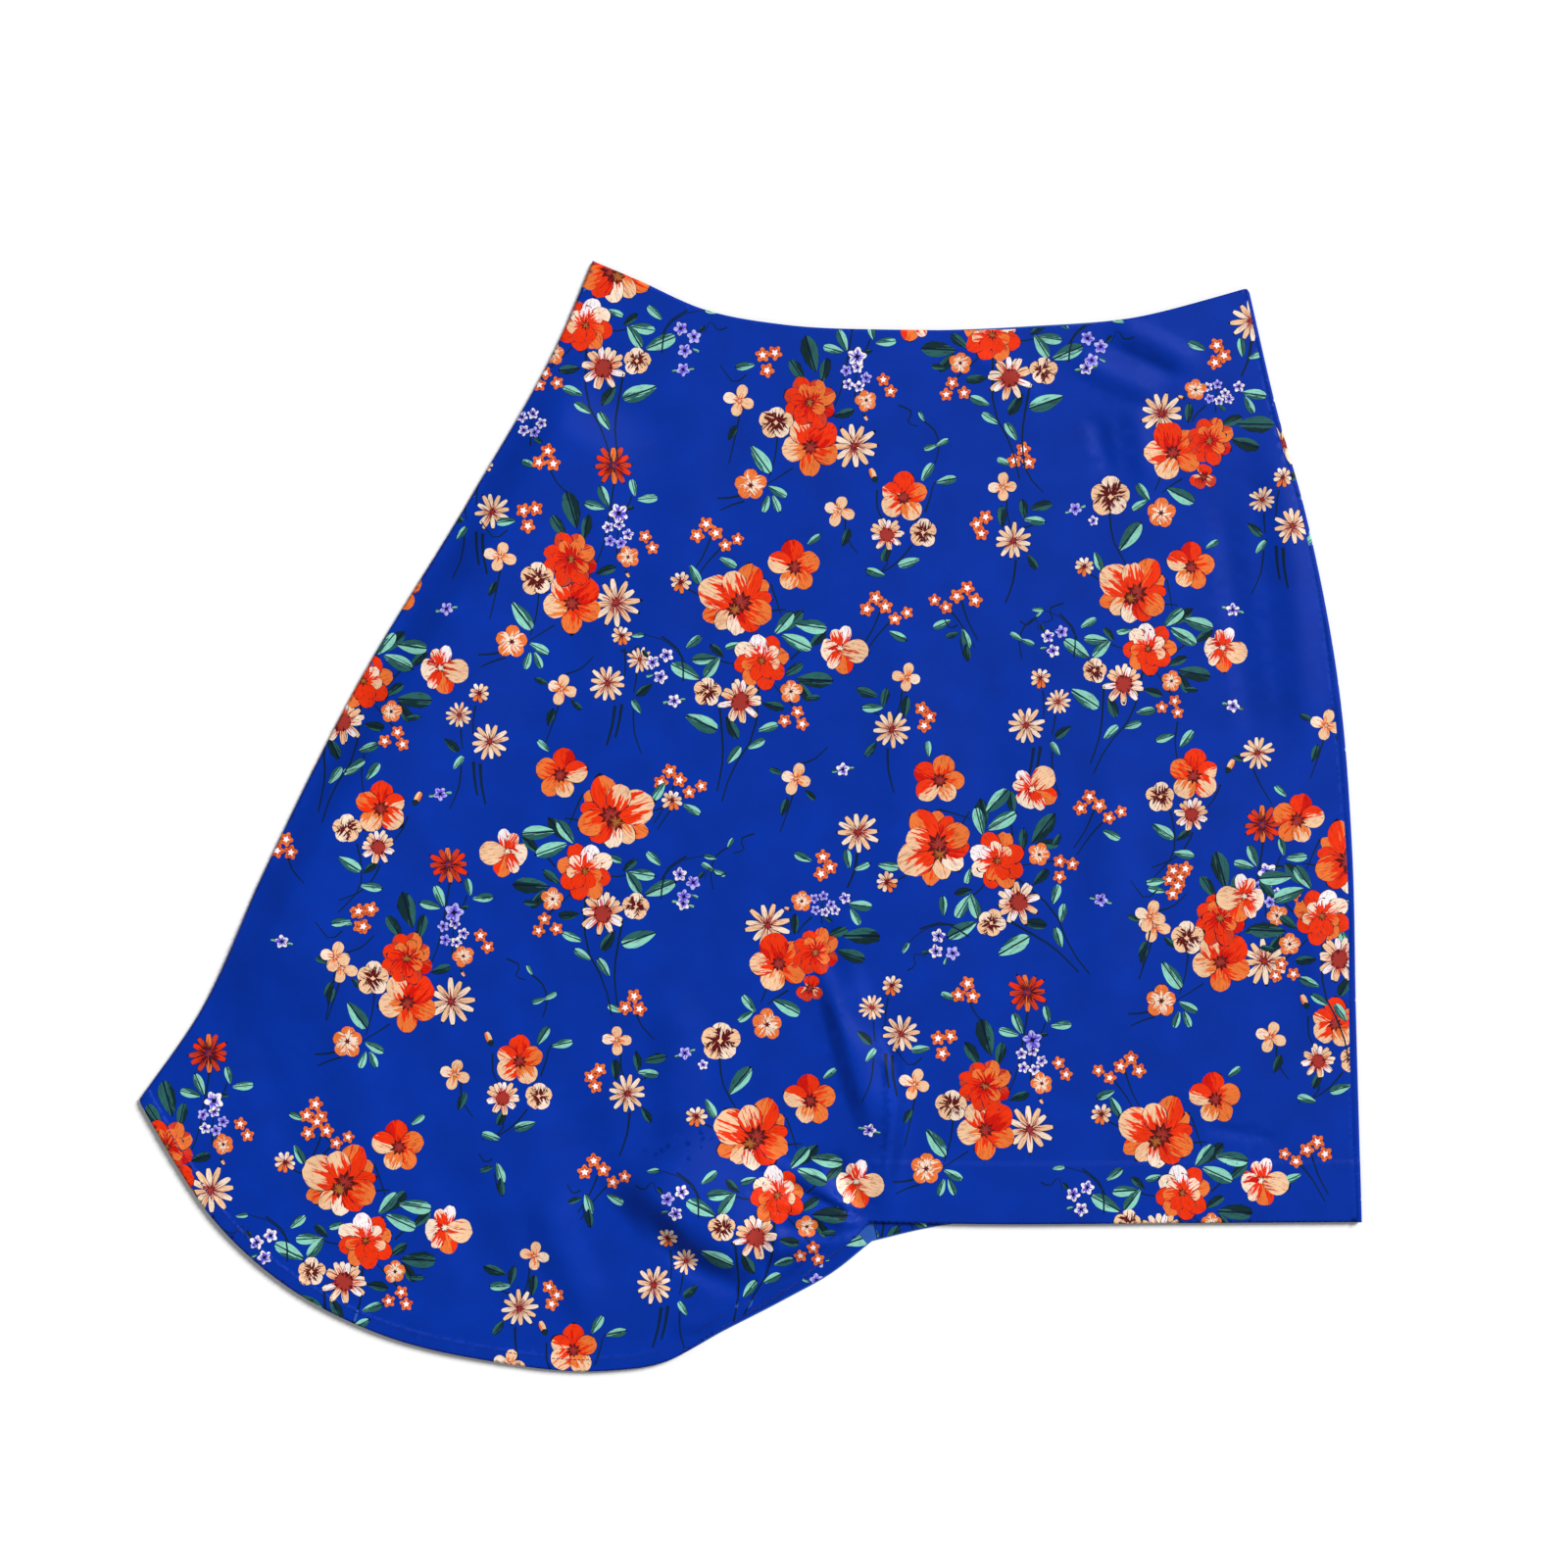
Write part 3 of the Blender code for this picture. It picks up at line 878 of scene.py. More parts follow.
def red_anemone(brush: Brush) -> None:
    """The flower under the red dahlia: two red petals over orange and cream ones."""
    brush.broad(
        (
            Petal(272, 18, 13, Ink.ORANGE, tongue(Ink.RED, 0.45)),
            Petal(190, 17, 16, Ink.ORANGE, tip(Ink.CREAM, 0.45)),
            Petal(342, 18, 15, Ink.ORANGE, tongue(Ink.RED, 0.5)),
            Petal(122, 18, 15, Ink.RED, tip(Ink.CREAM, 0.55)),
            Petal(48, 19.5, 18, Ink.RED, tongue(Ink.DEEP_RED, 0.4)),
        ),
        5.4,
    )


def cream_anemone(brush: Brush) -> None:
    """The flower of the third spray: red above, cream and orange below."""
    brush.broad(
        (
            Petal(92, 17, 14, Ink.RED, tongue(Ink.DEEP_RED, 0.4)),
            Petal(155, 15, 12, Ink.RED, side(Ink.CREAM, 0.1)),
            Petal(218, 15.5, 15, Ink.CREAM, tongue(Ink.RED, 0.5)),
            Petal(305, 15.5, 14, Ink.ORANGE, tip(Ink.CREAM, 0.55)),
            Petal(25, 15.5, 13, Ink.ORANGE, tongue(Ink.RED, 0.55)),
        ),
        5.0,
    )


def white_dahlia(brush: Brush) -> None:
    """A double flower, 34 mm across: red below and white above, its petals pointed."""
    outer = (Ink.ORANGE, Ink.RED, Ink.WHITE, Ink.PALE, Ink.RED, Ink.ORANGE, Ink.RED, Ink.RED)
    brush.ring_of_petals(outer, 17.5, 12, 15, tongue(Ink.BRICK, 0.42), 5)
    inner = (Ink.CREAM, Ink.PALE, Ink.WHITE, Ink.PALE, Ink.ORANGE, Ink.RED, Ink.RED)
    brush.ring_of_petals(inner, 12, 8.5, 350, tongue(Ink.RED, 0.6), 1)
    brush.burst(3.4, 8, Ink.HEART, 0.5, tongue(Ink.OCHRE, 0.35))


def red_dahlia(brush: Brush) -> None:
    """A double flower, 32 mm across, red with orange petals on one side."""
    outer = (Ink.DEEP_RED, Ink.ORANGE, Ink.ORANGE, Ink.RED, Ink.RED, Ink.RED, Ink.RED, Ink.RED)
    brush.ring_of_petals(outer, 16.5, 11.5, 340, side(Ink.BRICK, 0.25), 5)
    inner = (Ink.ORANGE, Ink.ORANGE, Ink.ORANGE, Ink.RED, Ink.RED, Ink.RED, Ink.ORANGE)
    brush.ring_of_petals(inner, 11.5, 8, 20, tongue(Ink.DEEP_RED, 0.55), 1)
    brush.burst(3.8, 9, Ink.HEART, 0.5, tongue(Ink.OCHRE, 0.35))


def sunflower(brush: Brush) -> None:
    """A cream flower, 28 mm across, with seventeen pointed petals and a red-brown disc."""
    brush.ring_of_petals((Ink.PALE, Ink.CREAM) * 4, 13.8, 4.8, 12, NO_WASH, 4)
    brush.ring_of_petals((Ink.PALE, Ink.CREAM, Ink.WHITE) * 3, 13.4, 4.4, 0, tongue(Ink.BRICK, 0.5), 4)
    brush.burst(5.9, 9, Ink.HEART, 0.88, tongue(Ink.DISC, 0.85))


def pansy(brush: Brush) -> None:
    """A scalloped cream flower, 18 mm across, with five dark red marks."""
    brush.ring_of_petals((Ink.CREAM, Ink.PALE, Ink.CREAM, Ink.CREAM, Ink.PALE), 9.4, 9.6, 18, tongue(Ink.HEART, 0.5))
    brush.burst(1.5, 4, Ink.CREAM, 0.6)


def daisy(brush: Brush) -> None:
    """A cream flower, 30 mm across, with twelve long loose petals."""
    brush.ring_of_petals((Ink.CREAM, Ink.PALE, Ink.CREAM, Ink.PALE) * 3, 14.6, 4.2, 8, tongue(Ink.DISC, 0.32), 2)
    brush.burst(3.6, 8, Ink.HEART, 0.5, tongue(Ink.DISC, 0.4))


def red_aster(brush: Brush) -> None:
    """A red flower, 24 mm across, with narrow petals and orange lights."""
    inks = (Ink.BRICK, Ink.RED, Ink.BRICK, Ink.ORANGE, Ink.BRICK, Ink.RED)
    brush.ring_of_petals(inks * 2, 12.2, 4.0, 5, tongue(Ink.HEART, 0.42), 2)
    brush.burst(2.8, 7, Ink.HEART, 0.5, tongue(Ink.DISC, 0.4))


def small_orange(brush: Brush) -> None:
    """A five-petalled orange flower, 18 mm across, with a cream heart."""
    brush.ring_of_petals((Ink.ORANGE,) * 5, 9.0, 8.4, 90, tongue(Ink.PALE, 0.45))
    brush.burst(2.2, 6, Ink.HEART, 0.45)


def small_red(brush: Brush) -> None:
    """A five-petalled red flower, 16 mm across, two of its petals cream inside."""
    brush.ring_of_petals((Ink.RED, Ink.BRICK, Ink.RED), 8.4, 8.0, 210, tongue(Ink.CREAM, 0.4))
    brush.ring_of_petals((Ink.RED, Ink.BRICK), 8.2, 7.6, 70, tongue(Ink.DEEP_RED, 0.4))
    brush.burst(3.8, 7, Ink.HEART, 0.5, tongue(Ink.DISC, 0.3))


def four_petal(brush: Brush) -> None:
    """A cream flower of four round petals, 19 mm across, with a small red heart."""
    brush.ring_of_petals((Ink.CREAM, Ink.PALE, Ink.CREAM, Ink.CREAM), 9.8, 7.4, 75, tongue(Ink.ORANGE, 0.25))
    brush.burst(2.4, 6, Ink.DISC, 0.45, tongue(Ink.CREAM, 0.3))


def tulip(brush: Brush) -> None:
    """A flower seen from its side, 26 mm across: white, cream and orange with red flames."""
    brush.petal(75, 14, 8.5, Ink.WHITE, tongue(Ink.RED, 0.5))
    brush.petal(112, 12, 8, Ink.PALE, tongue(Ink.RED, 0.7))
    brush.petal(195, 12, 15, Ink.PALE, tongue(Ink.DEEP_RED, 0.4))
    brush.petal(285, 16, 12, Ink.ORANGE, side(Ink.RED, 0.2))
    brush.petal(245, 14, 8, Ink.RED, tip(Ink.PALE, 0.7))
    brush.petal(352, 17, 15, Ink.CREAM, tongue(Ink.BRICK, 0.25))
    brush.burst(3.2, 6, Ink.HEART, 0.45, tongue(Ink.PALE, 0.45))


def bud_daisy(brush: Brush) -> None:
    """A small half-open daisy with orange on its lower petals."""
    inks = (Ink.PALE, Ink.CREAM, Ink.PALE, Ink.WHITE, Ink.CREAM, Ink.PALE, Ink.ORANGE, Ink.ORANGE, Ink.CREAM)
    brush.ring_of_petals(inks, 7.2, 3.4, 0, tongue(Ink.DISC, 0.35), 1)
    brush.burst(2.2, 6, Ink.HEART, 0.5)


def bud(brush: Brush) -> None:
    """A closed cream bud in its dark cup, 10 mm long, pointing along x."""
    brush.petal(0, 10, 4.4, Ink.CREAM, side(Ink.ORANGE, 0.2))
    brush.petal(0, 4.4, 4.0, Ink.LEAF_DARK)


def orange_floret(brush: Brush) -> None:
    """One flower of an orange head, 10 mm across, with a white eye."""
    turned = brush.at(0, 0, float(brush.rng.uniform(0, 72)))
    turned.lobed(5.2, Ink.ORANGE, tongue(Ink.BRICK, 0.5))
    turned.burst(2.5, 5, Ink.WHITE, 0.5)


def violet_floret(brush: Brush) -> None:
    """One violet flower, 8 mm across: five round petals, some of them white."""
    turned = brush.at(0, 0, float(brush.rng.uniform(0, 72)))
    turned.lobed(4.3, Ink.VIOLET, tip(Ink.WHITE if brush.rng.random() < 0.6 else Ink.LILAC, 0.5))
    turned.burst(1.5, 4, Ink.LINE, 0.5)


def violet_head(brush: Brush) -> None:
    """A head of five violet flowers with a dark stem and a small leaf."""
    brush.stroke(((0, -14), (-0.5, -6), (0, 3)), 1.2, Ink.STEM)
    for x, y in ((-6.2, 3.5), (0.4, 5.6), (5.8, -0.2), (-4.7, -4.5), (1.9, -5.6)):
        violet_floret(brush.at(x, y, 0, 0.9))
    leaf(brush.at(4.2, -10.5, -30), 7.0, Tone.MID)


def violet_sprig(brush: Brush) -> None:
    """A tiny sprig of a violet flower between two points of leaf."""
    leaf(brush.at(-4.6, -1.2, 190), 5, Tone.MINT)
    leaf(brush.at(4.6, 0.8, 8), 5, Tone.MINT)
    violet_floret(brush.at(0, 0, 20, 1.05))


def violet_trio(brush: Brush) -> None:
    """Three violet flowers on curling stems, with two leaves."""
    brush.stroke(((14, -10), (12, 5), (3, 13), (-13, 17)), 1.1, Ink.STEM)
    brush.stroke(((-24, 7), (-19, 5), (-14, 10), (-11, 3)), 1.0, Ink.STEM)
    leaf(brush.at(-14, 16, 10), 8, Tone.PALE)
    leaf(brush.at(-9, 5, 130), 6, Tone.DARK)
    for x, y in ((3.5, 5), (-4.6, 0.5), (0.5, -8)):
        violet_floret(brush.at(x, y, 0, 1.1))
    leaf(brush.at(-6, -7.5, 200), 5, Tone.MINT)


def leaf(brush: Brush, length: float, tone: Tone, plump: float = 0.46) -> None:
    """A pointed leaf centred on the origin, along x, one half of it lighter than the other.

    Args:
        brush: the brush at the leaf's middle.
        length: from foot to tip.
        tone: how light it is.
        plump: its width as a share of its length.
    """
    flip = 1.0 if brush.rng.random() < 0.5 else -1.0
    foot = brush.at(-length / 2, 0)
    ink, wash = tone.value
    wash = Wash(wash.ink, float(brush.rng.uniform(-0.5, 0.7)), flip, wash.level)
    ring = petal_ring(length, plump * length, 0.0, 5 if length < 10 else 6)
    ring = ring * (1 + brush.rng.normal(0, 0.025, ring.shape))
    foot.fill(ring, ink, wash, Form.LEAF, (length, plump * length / 2), 0.35)


class Motif(Enum):
    """Every flower that a spray is made of."""

    POPPY = "poppy"
    ANEMONE = "anemone"
    RED_ANEMONE = "red anemone"
    CREAM_ANEMONE = "cream anemone"
    WHITE_DAHLIA = "white dahlia"
    RED_DAHLIA = "red dahlia"
    SUNFLOWER = "sunflower"
    PANSY = "pansy"
    DAISY = "daisy"
    RED_ASTER = "red aster"
    SMALL_ORANGE = "small orange flower"
    SMALL_RED = "small red flower"
    FOUR_PETAL = "four-petalled flower"
    TULIP = "tulip"
    BUD_DAISY = "half-open daisy"
    BUD = "bud"
    ORANGE_FLORET = "orange floret"
    VIOLET_FLORET = "violet floret"
    VIOLET_HEAD = "violet head"
    VIOLET_SPRIG = "violet sprig"
    VIOLET_TRIO = "violet trio"


PAINTERS: dict[Motif, Callable[[Brush], None]] = {
    Motif.POPPY: poppy,
    Motif.ANEMONE: anemone,
    Motif.RED_ANEMONE: red_anemone,
    Motif.CREAM_ANEMONE: cream_anemone,
    Motif.WHITE_DAHLIA: white_dahlia,
    Motif.RED_DAHLIA: red_dahlia,
    Motif.SUNFLOWER: sunflower,
    Motif.PANSY: pansy,
    Motif.DAISY: daisy,
    Motif.RED_ASTER: red_aster,
    Motif.SMALL_ORANGE: small_orange,
    Motif.SMALL_RED: small_red,
    Motif.FOUR_PETAL: four_petal,
    Motif.TULIP: tulip,
    Motif.BUD_DAISY: bud_daisy,
    Motif.BUD: bud,
    Motif.ORANGE_FLORET: orange_floret,
    Motif.VIOLET_FLORET: violet_floret,
    Motif.VIOLET_HEAD: violet_head,
    Motif.VIOLET_SPRIG: violet_sprig,
    Motif.VIOLET_TRIO: violet_trio,
}

STEM_WEIGHT = 1.25
Stem = tuple[float, Spots]
LeafSpot = tuple[float, float, float, float, Tone]
FlowerSpot = tuple[Motif, float, float, float, float]


@dataclass(frozen=True)
class Spray:
    """A group of the print: its stems, then its leaves, then its flowers.

    Args:
        stems: (width, spots) of each stem.
        leaves: (x, y, turn, length, tone) of each leaf.
        flowers: (motif, x, y, turn, size) of each flower.
    """

    stems: Sequence[Stem]
    leaves: Sequence[LeafSpot]
    flowers: Sequence[FlowerSpot]

    def draw(self, brush: Brush) -> None:
        """Paints the whole group."""
        for wide, spots in self.stems:
            brush.stroke(spots, STEM_WEIGHT * wide, Ink.STEM, 0.6)
        for x, y, turn, length, tone in self.leaves:
            leaf(brush.at(x, y, turn), length, tone)
        for motif, x, y, turn, size in self.flowers:
            PAINTERS[motif](brush.at(x, y, turn, size))


POPPY_SPRAY = Spray(
    stems=(
        (1.2, ((-10, -61), (-8, -75), (-6.5, -92), (-9, -112))),
        (1.1, ((13, -45), (10, -80), (-1, -100), (-6, -118))),
        (0.9, ((-46, -22), (-36, -29), (-30, -40), (-22, -48))),
        (0.9, ((17, 12), (20, 5), (24, -6))),
        (1.0, ((31, -32), (38, -25), (47, -18))),
        (0.9, ((-16, -33), (-6, -36), (4, -36))),
        (0.9, ((-34, 8), (-26, 4), (-16, 2))),
        (1.0, ((18, -4), (24, -3), (27, -3))),
        (0.9, ((34, -60), (26, -52), (20, -46))),
    ),
    leaves=(
        (31, -9.6, 48, 17, Tone.DARK),
        (26, -11, 52, 17, Tone.MINT),
        (46.5, -19.3, 45, 14, Tone.MID),
        (42.2, -12, -6, 20, Tone.MINT),
        (34, -21.5, -22, 20, Tone.PALE),
        (-3.7, -25.5, 200, 10, Tone.MINT),
        (-12.6, -29, 140, 11, Tone.DARK),
        (-20, -34, 186, 16, Tone.MINT),
        (-15.5, -39, 235, 16, Tone.MINT),
        (-26.7, -24.4, 40, 12, Tone.MINT),
        (-31, -42, 155, 20, Tone.MINT),
        (33.3, -38, 35, 13, Tone.MID),
        (45.5, -43.5, 0, 22, Tone.MID),
        (40, -51, -55, 14, Tone.DARK),
        (45, -54, 5, 9, Tone.MID),
        (22, -60, -8, 13, Tone.DARK),
        (41.5, 39.3, 40, 10, Tone.MINT),
        (-28, 15.6, -60, 13, Tone.MINT),
        (-20, -72, -22, 22, Tone.MINT),
        (-2, -74, -60, 15, Tone.DARK),
        (19.5, -73, 20, 13, Tone.MINT),
        (13, -83, 30, 12, Tone.MINT),
        (0, -90, 55, 13, Tone.MINT),
    ),
    flowers=(
        (Motif.VIOLET_TRIO, -46, -38, 0, 1),
        (Motif.BUD_DAISY, -36, 10.5, 0, 0.95),
        (Motif.ANEMONE, 30.8, 22.5, 0, 1),
        (Motif.TULIP, 60, -24, 0, 1),
        (Motif.POPPY, 0, 0, 0, 1),
        (Motif.SUNFLOWER, 2.2, -58.5, 0, 1),
        (Motif.PANSY, -17.5, -53.3, 0, 0.92),
        (Motif.WHITE_DAHLIA, 13.8, -33.6, 0, 1),
        (Motif.SMALL_ORANGE, 32, -51, 0, 0.78),
        (Motif.ORANGE_FLORET, 36.3, -63, 0, 0.85),
        (Motif.ORANGE_FLORET, 29, -68.5, 30, 0.85),
        (Motif.ORANGE_FLORET, 39.5, -70, 60, 0.85),
    ),
)
DAHLIA_SPRAY = Spray(
    stems=(
        (0.9, ((23.5, 48), (22.6, 38), (21, 26), (17, 4), (12, -8))),
        (0.8, ((34, 39), (32, 33), (26, 27))),
        (0.9, ((-18, -20), (-19, -34), (-22, -46))),
        (0.8, ((-8, -39), (-15, -44), (-24, -50))),
        (1.3, ((-37, -56), (-43, -58), (-52, -59))),
        (1.0, ((-36, -60), (-42, -62), (-50, -66))),
        (0.9, ((-41, -9), (-43, -22), (-46, -38))),
        (0.8, ((-38, 15), (-44, 10), (-54, 20))),
    ),
    leaves=(
        (-8.1, 18.5, 125, 16, Tone.MID),
        (8.1, 19.3, 80, 15, Tone.MID),
        (-0.7, 28.9, 108, 23, Tone.MID),
        (17.8, 37.8, 115, 14, Tone.MINT),
        (12.6, 32.2, 168, 13, Tone.MINT),
        (33, 31.8, 10, 6, Tone.DARK),
        (34.8, 44, 105, 11, Tone.MINT),
        (43.5, 38, 8, 13, Tone.PALE),
        (20.7, -5.5, 20, 13, Tone.DARK),
        (-39, 20, 190, 12, Tone.MINT),
        (-45, -20, 65, 10, Tone.DARK),
        (-27.4, -34.8, -52, 20, Tone.MINT),
        (-16.5, -53.3, -25, 13, Tone.MINT),
        (-23, -61, -105, 11, Tone.MINT),
        (-17, -60.5, -65, 11, Tone.MINT),
    ),
    flowers=(
        (Motif.RED_ASTER, 22.5, 56.5, 0, 1),
        (Motif.VIOLET_HEAD, 27, 16.5, 0, 1),
        (Motif.VIOLET_FLORET, 26.8, 28.5, 0, 1.5),
        (Motif.ORANGE_FLORET, 43, 15.6, 0, 0.85),
        (Motif.ORANGE_FLORET, 47.6, 9, 30, 0.85),
        (Motif.SMALL_ORANGE, 33.5, 3, 20, 0.75),
        (Motif.BUD, 32, -5, -55, 0.5),
        (Motif.DAISY, 27.4, -24.4, 0, 1),
        (Motif.RED_ANEMONE, 1.5, -26, 0, 1),
        (Motif.RED_DAHLIA, 0, 0, 0, 1),
        (Motif.PANSY, -19.3, -12.6, 0, 1.08),
        (Motif.FOUR_PETAL, -41.5, -0.7, 0, 1),
        (Motif.ORANGE_FLORET, -29, 27, 0, 0.95),
        (Motif.ORANGE_FLORET, -21.8, 28.5, 40, 0.95),
        (Motif.ORANGE_FLORET, -26, 18, 20, 0.95),
        (Motif.SMALL_ORANGE, -32.6, -50.4, 0, 1.08),
    ),
)
TURNED_DAHLIA_SPRAY = Spray(
    stems=(
        (1.5, ((22, 60), (21, 50), (17, 39))),
        (1.0, ((-27, -18), (-29, -26), (-31, -31))),
        (1.0, ((-15, -23), (-21, -27), (-27, -32))),
        (1.0, ((-3, 21), (-8, 16), (-11, 11))),
    ),
    leaves=(
        (-10, 56, 160, 12, Tone.MINT),
        (16.6, 56.2, 100, 12, Tone.MINT),
        (25.4, 52, 25, 10, Tone.PALE),
        (25.4, 29, -5, 15, Tone.MINT),
        (22.5, 22.5, -60, 12, Tone.MINT),
        (12.4, 12.4, 25, 14, Tone.MID),
        (21.3, -0.6, -15, 18, Tone.MID),
        (27, 11.2, 2, 23, Tone.MID),
        (-13, 16, 90, 12, Tone.DARK),
        (-37.9, -32, 130, 13, Tone.MINT),
        (-39.6, -39.6, 215, 11, Tone.MINT),
        (-15.4, -33, -25, 19, Tone.MINT),
    ),
    flowers=(
        (Motif.DAISY, 21.9, 72.2, 0, 0.9),
        (Motif.VIOLET_HEAD, 3, 29, 0, 0.85),
        (Motif.VIOLET_FLORET, 10.5, 25.5, 0, 0.8),
        (Motif.VIOLET_FLORET, 16, 33, 40, 0.9),
        (Motif.ORANGE_FLORET, 1.8, 56.8, 0, 0.95),
        (Motif.ORANGE_FLORET, 6.5, 50.9, 30, 0.95),
        (Motif.ORANGE_FLORET, 1.2, 46.7, 60, 0.95),
        (Motif.SMALL_ORANGE, -9.5, 30, 0, 0.72),
        (Motif.BUD, -15, 24.5, 165, 0.5),
        (Motif.DAISY, -29, 14.8, 10, 0.95),
        (Motif.RED_ANEMONE, -21.3, -7.7, 60, 0.98),
        (Motif.RED_DAHLIA, 0, 0, 0, 0.9),
        (Motif.SMALL_RED, -2.4, -21.3, 0, 1),
        (Motif.SMALL_ORANGE, -26.6, -43.8, 0, 1.05),
    ),
)
ANEMONE_SPRAY = Spray(
    stems=(
        (0.9, ((13, -8), (16, 2), (18, 10), (21, 12))),
        (0.9, ((-16, 4), (-15, -8), (-10, -16))),
        (0.9, ((-34, -14), (-33, -24), (-26, -34))),
        (0.9, ((6, -28), (0, -36), (-10, -44), (-20, -47))),
        (0.9, ((-9, -30), (-8, -40), (-14, -46))),
    ),
    leaves=(
        (13.3, 16, 60, 13, Tone.MINT),
        (24.9, 11.5, 15, 13, Tone.MINT),
        (4.9, -38, 200, 14, Tone.MINT),
        (-14.7, -45, 165, 12, Tone.MINT),
        (-8.9, -33, 250, 12, Tone.DARK),
        (-32.9, -25, 70, 12, Tone.DARK),
    ),
    flowers=(
        (Motif.BUD, -16.4, 8, 115, 1),
        (Motif.FOUR_PETAL, -37.7, -9.3, 0, 1),
        (Motif.PANSY, 12.4, -20, 0, 0.95),
        (Motif.CREAM_ANEMONE, 0, 0, 0, 0.95),
        (Motif.SUNFLOWER, -8.9, -22.2, 0, 0.77),
    ),
)
TURNED_ANEMONE_SPRAY = Spray(
    stems=(
        (0.9, ((11, 32), (12, 20), (10, 8))),
        (0.9, ((-16, -4), (-13, -12), (-9, -18))),
        (0.9, ((13, -21), (10, -33), (10, -46), (22, -62))),
        (0.9, ((-1, -33), (3, -42), (8, -48), (22, -55))),
    ),
    leaves=(
        (5.3, 22, 125, 13, Tone.MINT),
        (18, 22, -20, 12, Tone.MINT),
        (16.7, -33.4, 210, 16, Tone.MINT),
        (4.5, -35, 140, 11, Tone.DARK),
        (3.7, -46.4, 185, 13, Tone.MINT),
        (19, -68, 10, 11, Tone.MINT),
    ),
    flowers=(
        (Motif.BUD, -19, 2.4, 115, 1),
        (Motif.PANSY, 19, -13, 0, 0.95),
        (Motif.CREAM_ANEMONE, 0, 0, 0, 1),
        (Motif.SUNFLOWER, 0.4, -22.8, 0, 0.77),
        (Motif.ORANGE_FLORET, 11.8, -61.8, 0, 0.85),
        (Motif.ORANGE_FLORET, 5.3, -60.2, 20, 0.85),
        (Motif.ORANGE_FLORET, 9.4, -70, 40, 0.9),
    ),
)
DAISY_SPRAY = Spray(
    stems=(
        (1.2, ((2, -11), (1, -24), (-3, -37))),
        (0.9, ((-5, 24), (-4, 14), (0, 4))),
        (0.9, ((5, 8), (9, 9), (14, 12))),
    ),
    leaves=(
        (-7.4, 14, 95, 13, Tone.DARK),
        (5.2, 19, 100, 12, Tone.MID),
        (15.5, 21.4, 15, 14, Tone.MID),
        (12, 12.6, -5, 13, Tone.PALE),
        (11.8, -11.8, -55, 11, Tone.MID),
    ),
    flowers=(
        (Motif.FOUR_PETAL, -7.4, 31.5, 20, 0.92),
        (Motif.ORANGE_FLORET, -17, 13.5, 0, 0.9),
        (Motif.ORANGE_FLORET, -22, 9, 20, 0.9),
        (Motif.ORANGE_FLORET, -19, 3.5, 40, 0.9),
        (Motif.DAISY, 0, 0, 15, 0.8),
    ),
)
PAIR_SPRAY = Spray(
    stems=(
        (1.6, ((-9, -12), (-8, -22), (-6, -32))),
        (1.6, ((-5, -13), (-4, -24), (-1, -37))),
        (0.9, ((-16, -15), (-17, -28), (-22, -41))),
        (0.9, ((-17, 7), (-16.5, 1), (-15.5, -5))),
        (0.9, ((-9, 21), (-10, 12), (-10, 4))),
    ),
    leaves=(
        (-21.9, -3, -40, 12, Tone.DARK),
        (-17.8, -13, 55, 10, Tone.MINT),
    ),
    flowers=(
        (Motif.DAISY, -18.3, 14.8, 10, 0.56),
        (Motif.BUD_DAISY, -7.1, 28.4, 0, 0.9),
        (Motif.DAISY, 0, 0, 0, 0.8),
    ),
)
PANSY_SPRAY = Spray(
    stems=((1.0, ((0, -10), (2.2, -24), (12, -41))),),
    leaves=((12.5, -23, 55, 21, Tone.MINT),),
    flowers=(
        (Motif.PANSY, 0, 0, 0, 1.3),
        (Motif.VIOLET_SPRIG, -20.5, -8, 10, 0.95),
        (Motif.VIOLET_FLORET, -9.5, -14.5, 0, 0.8),
    ),
)
LONE_LEAVES = Spray(
    stems=((0.9, ((-2, 10), (-6, 8), (-10, 13))), (0.9, ((2, 8), (0, 2), (2, -8)))),
    leaves=((3, 2, -70, 13, Tone.MINT), (-5, 4, 200, 9, Tone.MID), (4, -6, -80, 11, Tone.DARK)),
    flowers=(),
)
CURLS = Spray(
    stems=(
        (0.9, ((-14, 12), (-6, 8), (-8, 2), (-2, 0))),
        (0.9, ((0, 4), (8, -2), (11, -12), (9, -22))),
    ),
    leaves=((0, 6, 120, 7, Tone.PALE), (13, -9, 30, 9, Tone.MINT), (6, -12, 200, 9, Tone.MINT)),
    flowers=(),
)
CREAM_SPRAY = Spray(
    stems=(
        (0.9, ((0, -4), (-3, -16), (-8, -32))),
        (0.9, ((2, 9), (10, 12), (18, 20))),
    ),
    leaves=(
        (-6, -17, 75, 11, Tone.DARK),
        (9, -9, -40, 9, Tone.DARK),
        (-12, 4, 160, 9, Tone.MID),
    ),
    flowers=((Motif.FOUR_PETAL, 0, 0, 0, 1),),
)
ORANGE_SPRIG = Spray(
    stems=(
        (0.9, ((2, -5), (-2, -16), (-9, -28))),
        (0.9, ((10, -9), (2, -18), (-7, -32))),
    ),
    leaves=((13, -19, -25, 12, Tone.MINT),),
    flowers=(
        (Motif.ORANGE_FLORET, -1, 3, 0, 0.95),
        (Motif.ORANGE_FLORET, -6, -4, 30, 0.95),
        (Motif.ORANGE_FLORET, 5, -2, 60, 0.95),
        (Motif.ORANGE_FLORET, 11, -9, 20, 0.85),
        (Motif.ORANGE_FLORET, 18, -5, 40, 0.8),
    ),
)
